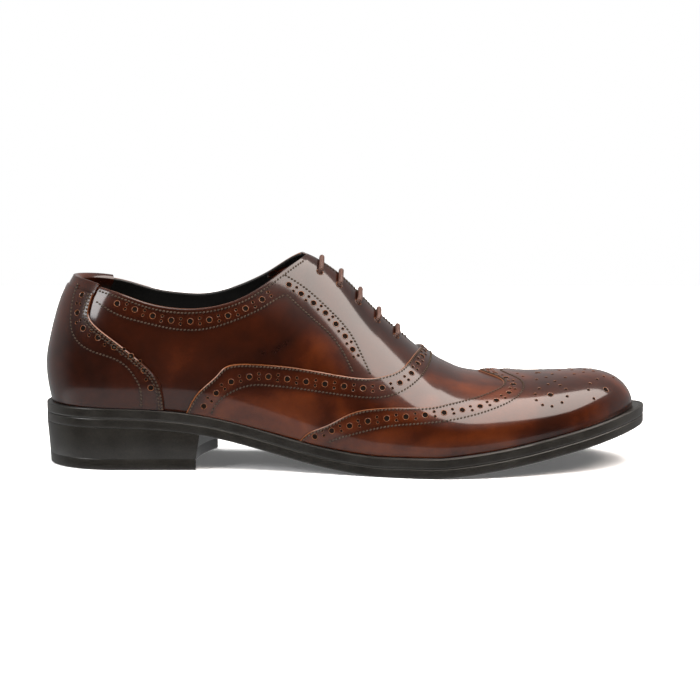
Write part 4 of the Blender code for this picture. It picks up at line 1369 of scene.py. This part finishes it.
def heelTab():
    # A strip folded over the collar's edge at the back, outside to inside.
    reach = counterEdgeRows[0][1] * soleLength
    outside, middle = tabShape["outside"], -upperWall / 2
    big, small = outside - middle, upperWall / 2 - tabShape["bite"]
    arc = np.linspace(0, math.pi, tabShape["foldLines"])
    outline = [(tabDepth - inset, outside - drop) for inset, drop in tabShape["edge"]]
    outline.append((tabDepth / 2, outside))
    outline += [(-big * tabShape["flat"] * math.sin(a), middle + big * math.cos(a)) for a in arc]
    outline += [(tabDepth, middle - big), (tabDepth, middle - small)]
    outline += [(-small * math.sin(a), middle - small * math.cos(a)) for a in arc]
    outline += [(tabDepth / 2, middle + small), (tabDepth, middle + small)]
    turn = evenArcs(reach, tabShape["lengthLines"])
    places = np.concatenate([turn[::-1], turn[1:]])
    sides = np.concatenate([-np.ones(len(turn)), np.ones(len(turn) - 1)])
    edge = np.where(sides < 0, topEdge(places, -1), topEdge(places, 1))
    collar = surface(places, sides * edge)
    rings = []
    for depth, out in outline:
        low = [girthAtHeight(places, side, collar[:, 2] - max(depth, 0)) for side in (-1, 1)]
        q = sides * np.where(sides < 0, *low) if depth > 0 else sides * edge
        spot = surface(places, q) + normals(places, q) * out
        spot[:, 2] += max(0.0, -depth)
        rings.append(spot)
    grid = np.stack([*rings, rings[0]], axis=1)
    count = len(outline)
    faces = gridFaces(*grid.shape[:2]).tolist()
    faces += [list(range(count)), [(len(places) - 1) * (count + 1) + k for k in range(count)][::-1]]
    return makeObject("tab-leather", grid.reshape(-1, 3), faces, [brownLeather])


tab = heelTab()
shadeSeams(tab, [], [])
print("heel tab folded")

# The sole's layers. Each row of an edge profile is an inset and a distance: down from the
# layer's top face in a Top list, up from its underside in a Foot list.
soleLayers = {
    "lengthLines": 300,
    "weltTop": [(0.0040, 0.0001), (0.0030, 0.0), (0.0022, 0.0), (0.0020, 0.00022), (0.0018, 0.0),
                (0.0012, 0.0), (0.0010, 0.00022), (0.0008, 0.00002), (0.0004, 0.0001),
                (0.0001, 0.0003), (0.0, 0.0006), (0.0, 0.0008)],
    "weltFoot": [(0.0, 0.0008), (0.00002, 0.0005), (0.0003, 0.0001), (0.0006, -gap - 0.0001)],
    "outsoleTop": [(0.0006, -0.0001), (0.0003, 0.0001), (0.00005, 0.0004), (0.0, 0.0007),
                   (0.0, 0.0010)],
    "outsoleFoot": [(0.0, 0.0010), (0.0001, 0.0005), (0.0003, 0.0002), (0.0007, 0.0), (0.0012, 0.0)],
}


def layerRing(inset, height):
    # Both halves of the sole's outline, drawn in by the inset.
    turn = np.linspace(0, math.pi, soleLayers["lengthLines"])
    x = soleLength * (1 - np.cos(turn)) / 2
    shrink = 1 - inset / (soleLength / 2)
    xs = soleLength / 2 + (x - soleLength / 2) * shrink
    ring = []
    for side in (-1, 1):
        half = soleHalfWidth(x, side) * (1 - inset / (ballWidth / 2))
        ring.append(np.stack([xs, side * half, soleBottom(xs) + height], -1))
    return ring


def layer(name, base, thick, top, foot, materials):
    # A layer on the sole's plan, its edge profile from the top face down.
    profile = [(inset, base + thick - drop) for inset, drop in top]
    profile += [(0.0, base + thick / 2)] + [(inset, base + rise) for inset, rise in foot]
    rings = [layerRing(inset, height) for inset, height in profile]
    rows = len(rings[0][0])
    points, faces, looks = [], [], []
    for left, right in rings:
        points += [left, right]
    for n in range(len(rings) - 1):
        for side in (0, 1):
            a, b = (2 * n + side) * rows, (2 * n + 2 + side) * rows
            for k in range(rows - 1):
                faces.append([a + k, a + k + 1, b + k + 1, b + k])
                looks.append(0)
    last = 2 * (len(rings) - 1) * rows
    for start in (0, last):
        for k in range(rows - 1):
            faces.append([start + k, start + k + 1, start + rows + k + 1, start + rows + k])
            looks.append(len(materials) - 1 if start else 0)
    return makeObject(name, np.concatenate(points), faces, materials, looks, 40)


weltPiece = layer("welt-strip", outsoleThick + gap, weltThick, soleLayers["weltTop"],
                  soleLayers["weltFoot"], [blackSole])
outsolePiece = layer("outsole-layer", 0.0, outsoleThick, soleLayers["outsoleTop"],
                     soleLayers["outsoleFoot"], [blackSole, blackUnder])
print("welt and outsole made")


def heelRing(height, taperShare, lean, inset, count=90):
    # The heel's outline at a height, given for each x: round the back, then along the breast.
    taper, end = heelTaper * taperShare, heelLength - breastLean * lean
    turn = np.linspace(0, math.pi / 2, count)
    x = heelLength * (1 - np.cos(turn))
    back = inset + taper
    points = []

    def spot(x, share):
        side = np.where(share < 0, -1, 1)
        half = np.where(side < 0, soleHalfWidth(x, -1), soleHalfWidth(x, 1))
        half = half * (1 - inset / (ballWidth / 2)) * (1 - taper / (ballWidth / 3))
        xs = back + (end - back - inset) * x / heelLength
        curve = breastSlant / 2 * share - breastDip * (1 - share * share)
        xs = xs + curve * (x / heelLength) ** 6
        return np.stack([xs, half * share, height(xs)], -1)

    left = spot(x[::-1], np.full(count, -1.0))
    right = spot(x[1:], np.full(count - 1, 1.0))
    breast = spot(np.full(21, heelLength), np.linspace(1, -1, 21))[1:-1]
    return np.concatenate([left, right, breast])


def heelStack(name, profile, materials):
    # Walls between the rings, closed at the top and the bottom.
    rings = [heelRing(*row) for row in profile]
    count = len(rings[0])
    faces = []
    for n in range(len(rings) - 1):
        for k in range(count):
            m = (k + 1) % count
            faces.append([n * count + k, n * count + m, (n + 1) * count + m, (n + 1) * count + k])
    caps = [list(range(count)), [(len(rings) - 1) * count + k for k in range(count)][::-1]]
    looks = [0] * len(faces) + [0, len(materials) - 1]
    return makeObject(name, np.concatenate(rings), faces + caps, materials, looks, 40)


def between(share, offset):
    # Heights between the outsole (share 1) and the level where the block ends (share 0).
    low = topLiftThick + gap
    return lambda x: share * soleBottom(x) + (1 - share) * low + offset


def level(height):
    return lambda x: np.full(np.shape(x), height)


# Rings from the top down: height, share of the taper, share of the breast's lean, inset
heelShape = {
    "block": [
        (between(1, 0.0001), 0, 0, 0.0002),
        (between(1, -0.0004), 0, 0, 0.0),
        (between(0.5, 0.0), 0.5, 0.5, 0.0),
        (between(0, 0.0003), 1, 1, 0.0),
        (between(0, -0.0001), 1, 1, 0.0002),
    ],
    "lift": [
        (level(topLiftThick + 0.0002), 1, 1, 0.0003),
        (level(topLiftThick - 0.0002), 1, 1, 0.0),
        (level(0.0012), 1.2, 1, 0.0),
        (level(0.0004), 1.25, 1, 0.0001),
        (level(0.0), 1.3, 1, edgeRound),
    ],
}
heelPiece = heelStack("heel-stack", heelShape["block"], [blackSole])
liftPiece = heelStack("heel-lift", heelShape["lift"], [blackSole, blackUnder])
print("heel made")

# The tongue under the lace and the sock inside the shoe
tongueShape = {
    "lengthLines": 90,
    "widthLines": 60,
    "edgeRadius": 0.0010,
    "widths": (0.21, 0.24, 0.26),      # girth shares at its top, the throat's top and its end
    "corner": 0.02,                    # how far down its top is rounded
    "topWidth": 0.80,
    "topReach": 0.03,                  # length over which its top edge thins out
    "sideReach": 0.035,                # half its width, as its side edges see it
    "clearance": 7,                    # room under the lace, in gaps
}


def tonguePiece():
    p = np.linspace(tongueTop, tongueEnd, tongueShape["lengthLines"]) * soleLength
    widths = np.interp(p / soleLength, (tongueTop, throatTop, tongueEnd), tongueShape["widths"])
    down = np.clip((p / soleLength - tongueTop) / tongueShape["corner"], 0, 1)
    corner = np.sqrt(1 - (1 - down) ** 2)
    widths = widths * (tongueShape["topWidth"] + (1 - tongueShape["topWidth"]) * corner)
    way = np.linspace(-1, 1, tongueShape["widthLines"])
    girth = widths[:, None] * way[None, :]
    place = np.repeat(p[:, None], len(way), 1)
    rest = upperWall + laceDiameter + tongueShape["clearance"] * gap
    sag = np.clip((throatTop * soleLength - p) / ((throatTop - tongueTop) * soleLength), 0, 1)
    depth = (rest + tongueDrop * sag**2)[:, None]
    fromTop = (p - p[0]) / tongueShape["topReach"]
    edge = np.minimum(1 - np.abs(way)[None, :], fromTop[:, None]) * tongueShape["sideReach"]
    drop = tongueThick / 2 * (1 - rolled(edge, tongueShape["edgeRadius"]))
    base, up = surface(place, girth), normals(place, girth)
    outer = base - up * (depth + drop)[..., None]
    inner = base - up * (depth + tongueThick - drop)[..., None]
    return sheet("tongue-leather", [(outer, inner, False)], [brownLeather, blackLining])


tongue = tonguePiece()
shadeSeams(tongue, [], [])


sockShape = {
    "lengthLines": 160,
    "widthLines": 41,
    "ends": 0.006,         # how far from the back seam and the toe it ends
    "rimRise": 0.0004,
}


def sockPiece():
    # The sock over the insole, a little raised at its rim.
    p = upperLength * (1 - np.cos(np.linspace(0, math.pi, sockShape["lengthLines"]))) / 2
    p = p[(p > sockShape["ends"]) & (p < upperLength - sockShape["ends"])]
    way = np.linspace(-1, 1, sockShape["widthLines"])
    rim = upperWall + gap
    lateral = skin(p, -np.ones(len(p)), -rim)
    medial = skin(p, np.ones(len(p)), -rim)
    top = lateral[:, None, :] + (medial - lateral)[:, None, :] * (way[None, :, None] + 1) / 2
    bottom = top.copy()
    bottom[..., 2] = featherHeight(bottom[..., 0]) + 0.0001
    top[..., 2] = featherHeight(top[..., 0]) + insoleThick
    top[..., 2] += sockShape["rimRise"] * np.abs(way[None, :]) ** 6
    return sheet("sock", [(top, bottom, False)], [blackLining])


sock = sockPiece()
print("tongue and sock laid in")

# The lace: a round waxed cord that runs straight across between the eyelets
laceShape = {
    "sides": 12,
    "step": 0.0007,
    "swell": 1.16,         # how much thicker it looks than its laid diameter
    "bend": 0.75,          # radius of its bends, in diameters
    "cut": 0.29,           # how far a bend's middle lies inside its corner, in radii
    "clearance": 4,        # room between the wall and the runs inside, in gaps
}


def lacePath():
    # Over the throat from eyelet to eyelet, then down inside to the next pair.
    over = gap + laceDiameter / 2
    under = upperWall + laceShape["clearance"] * gap + laceDiameter / 2
    bend = laceShape["bend"] * laceDiameter
    cut = laceShape["cut"] * bend
    space = (lastEyelet - firstEyelet) / (eyeletCount - 1)
    near = bend / soleLength
    path = []

    def spot(share, reach, out):
        p = np.array([share * soleLength])
        side = -1 if reach < 0 else 1
        q = side * girthFromRidge(p, side, abs(reach))
        return (surface(p, q) + normals(p, q) * out)[0]

    side = -1
    for n in range(eyeletCount):
        share = firstEyelet + space * n
        if n == 0:
            path.append(spot(share, side * eyeletInset, -under))
        path.append(spot(share, side * eyeletInset, over - bend))
        path.append(spot(share, side * (eyeletInset - cut), over - cut))
        for reach in np.linspace(eyeletInset - bend, -(eyeletInset - bend), 6):
            path.append(spot(share, side * reach, over))
        side = -side
        path.append(spot(share, side * (eyeletInset - cut), over - cut))
        path.append(spot(share, side * eyeletInset, over - bend))
        if n == eyeletCount - 1:
            path.append(spot(share, side * eyeletInset, -under))
            break
        path.append(spot(share, side * eyeletInset, -under + bend))
        for way in np.linspace(share + near, share + space - near, 3):
            path.append(spot(way, side * eyeletInset, -under))
        path.append(spot(share + space, side * eyeletInset, -under + bend))
    return np.array(path)


def cordTube(name, path, radius, material):
    # A round tube along the path, its UV map in turns round it and diameters along it.
    run = along(path, 0)
    tracks = [Track(np.stack([run, path[:, k]], -1)) for k in range(3)]
    at = np.arange(0, run[-1], laceShape["step"])
    line = np.stack([track(at) for track in tracks], -1)
    line[:, 0] -= originFromBack
    way = np.gradient(line, axis=0)
    way /= np.linalg.norm(way, axis=-1, keepdims=True)
    side = np.cross(way[0], [0.0, 0.0, 1.0])
    sides = []
    for direction in way:
        side = side - direction * side.dot(direction)
        side /= np.linalg.norm(side)
        sides.append(side)
    sides = np.array(sides)
    ups = np.cross(way, sides)
    turn = np.linspace(0, 2 * math.pi, laceShape["sides"] + 1)
    grid = line[:, None, :] + radius * (sides[:, None, :] * np.cos(turn)[None, :, None]
                                        + ups[:, None, :] * np.sin(turn)[None, :, None])
    mesh = bpy.data.meshes.new(name)
    count = laceShape["sides"]
    points = grid[:, :-1].reshape(-1, 3)
    faces, uvs = [], []
    for n in range(len(line) - 1):
        for k in range(count):
            m = (k + 1) % count
            faces.append([n * count + k, (n + 1) * count + k, (n + 1) * count + m, n * count + m])
            a, b = at[n] / (2 * radius), at[n + 1] / (2 * radius)
            uvs += [(k / count, a), (k / count, b), ((k + 1) / count, b), ((k + 1) / count, a)]
    caps = [list(range(count)), [(len(line) - 1) * count + k for k in range(count)][::-1]]
    uvs += [(0.0, 0.0)] * (2 * count)
    mesh.from_pydata(points.tolist(), [], faces + caps)
    layer = mesh.uv_layers.new(name="UVMap")
    layer.data.foreach_set("uv", np.array(uvs, np.float32).ravel())
    mesh.materials.append(material)
    faceOutwards(mesh)
    return addObject(name, mesh)


cord = cordTube("lace-cord", lacePath(), laceShape["swell"] * laceDiameter / 2, lace)
print("lace threaded")

rowsOfThread = [np.concatenate([row[k] for row in threadRows]) for k in range(3)]
stitching = pointCloud("stitching", *rowsOfThread)
stitches.use(stitching, {"Length": needlework["stitchLength"], "Width": needlework["stitchWidth"],
                         "Height": needlework["stitchHeight"], "Slant": needlework["stitchSlant"],
                         "Thread": thread})
print("stitches", len(rowsOfThread[0]))

# The pieces ride on the shoe and stand for its solids
for piece, node, slot in (
        (quarters, "upper", "brown_leather"), (wing, "wing_cap", "cap_leather"),
        (vamp, "vamp", "brown_leather"), (counter, "heel_counter", "brown_leather"),
        (tab, "heel_tab", "brown_leather"), (tongue, "tongue", "brown_leather"),
        (sock, "insole", "black_leather"), (weltPiece, "welt", "black_sole"),
        (outsolePiece, "outsole", "black_sole"), (heelPiece, "heel_block", "black_sole"),
        (liftPiece, "top_lift", "black_sole"), (cord, "lace", "brown_cord")):
    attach(piece, "root")
    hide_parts(node)
for piece in (stitching, *holePieces):
    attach(piece, "root")

# The studio: a white floor, soft lights and the camera
studio = {
    "floorSize": 1.9,
    "floorDark": 0.93,
    "floorPale": 0.96,
    "floorGlow": 0.10,
    "skyLight": 0.34,
    "frontDark": 0.97,             # how dark the photographer's side is, seen in the polish
    "frontSide": (-0.55, 0.15),    # where it ends, from front to back
    "frontHeight": (0.45, 0.75),   # and upwards
    "tableGlow": 1.7,              # pale light from the table, below
    "tableHeight": (-0.42, -0.36),
    "lens": 85.58,
    "target": (0.1130, 0.0, 0.0564),
    "distance": 0.850,
    "azimuth": 0.5,
    "elevation": 7.5,
    "lights": {
        "overhead light": dict(place=(0.50, -0.16, 0.90), aim=(0.08, -0.02, 0.05), width=0.92,
                               height=1.05, power=19.0, tint=(1.0, 0.90, 0.83)),
        "ceiling fill": dict(place=(0.10, 0.10, 1.60), aim=(0.10, 0.10, 0.0), width=2.0,
                             height=2.0, power=62.0, mirrored=False),
        "side light": dict(place=(-0.80, -0.60, 0.70), aim=(0.05, 0.0, 0.05), width=0.45,
                           height=0.45, power=5.5),
    },
}


def softBox(name, place, aim, width, height, power, mirrored=True, tint=(1.0, 1.0, 1.0)):
    # A soft light; where it isn't mirrored, the polish doesn't show it.
    lamp = bpy.data.lights.new(name, "AREA")
    lamp.shape = "RECTANGLE"
    lamp.size, lamp.size_y = width, height
    lamp.energy = power
    lamp.color = tint
    box = addObject(name, lamp)
    box.location = place
    box.visible_glossy = mirrored
    box.rotation_euler = (Vector(aim) - Vector(place)).to_track_quat("-Z", "Y").to_euler()


def floorMaterial():
    material, shader, place = startMaterial("white floor", 0.9, specular=0.0)
    dust = place.noise(6.0, 2.0, 0.5)
    dark, pale = (studio["floorDark"],) * 3, (studio["floorPale"],) * 3
    finish(shader, dust.node("ShaderNodeValToRGB", {"stops": [(0.2, dark), (0.8, pale)]}, Fac=dust))
    shader.inputs["Emission Color"].default_value = (1.0, 1.0, 1.0, 1.0)
    shader.inputs["Emission Strength"].default_value = studio["floorGlow"]
    return material


half = studio["floorSize"] / 2
floorMesh = bpy.data.meshes.new("floor")
floorMesh.from_pydata([(-half, -half, 0), (half, -half, 0), (half, half, 0), (-half, half, 0)], [],
                      [(0, 1, 2, 3)])
floorMesh.materials.append(floorMaterial())
floor = addObject("floor", floorMesh)
floor.visible_glossy = False


def studioWorld():
    # White behind and above, dark on the photographer's side, pale from the table below.
    world = bpy.data.worlds.new("studio")
    world.use_nodes = True
    tree = world.node_tree
    direction = Wire(tree, tree.nodes.new("ShaderNodeTexCoord").outputs["Generated"])
    ahead = direction.node("ShaderNodeSeparateXYZ", out=1, Vector=direction)
    high = direction.node("ShaderNodeSeparateXYZ", out=2, Vector=direction)
    dark = ahead.step(*studio["frontSide"], 1.0, 0.0) * high.step(*studio["frontHeight"], 1.0, 0.0)
    table = high.step(*studio["tableHeight"], studio["tableGlow"], 0.0)
    light = 1.0 - dark * studio["frontDark"] + table
    seen = Wire(tree, tree.nodes.new("ShaderNodeLightPath").outputs["Is Camera Ray"])
    strength = seen.maths("MAXIMUM", light * studio["skyLight"], seen)
    background = tree.nodes["Background"]
    background.inputs["Color"].default_value = (1.0, 1.0, 1.0, 1.0)
    tree.links.new(strength.socket, background.inputs["Strength"])
    bpy.context.scene.world = world


studioWorld()
bpy.context.scene.view_settings.view_transform = "Standard"
for name, values in studio["lights"].items():
    softBox(name, **values)

azimuth, elevation = math.radians(studio["azimuth"]), math.radians(studio["elevation"])
forward = Vector((-math.sin(azimuth) * math.cos(elevation), math.cos(azimuth) * math.cos(elevation),
                  -math.sin(elevation)))
lensData = bpy.data.cameras.new("camera")
lensData.lens, lensData.sensor_width = studio["lens"], 36.0
lensData.clip_start, lensData.clip_end = 0.01, 20.0
camera = addObject("camera", lensData)
camera.location = Vector(studio["target"]) - forward * studio["distance"]
camera.rotation_euler = forward.to_track_quat("-Z", "Y").to_euler()
bpy.context.scene.camera = camera
print("studio lit")
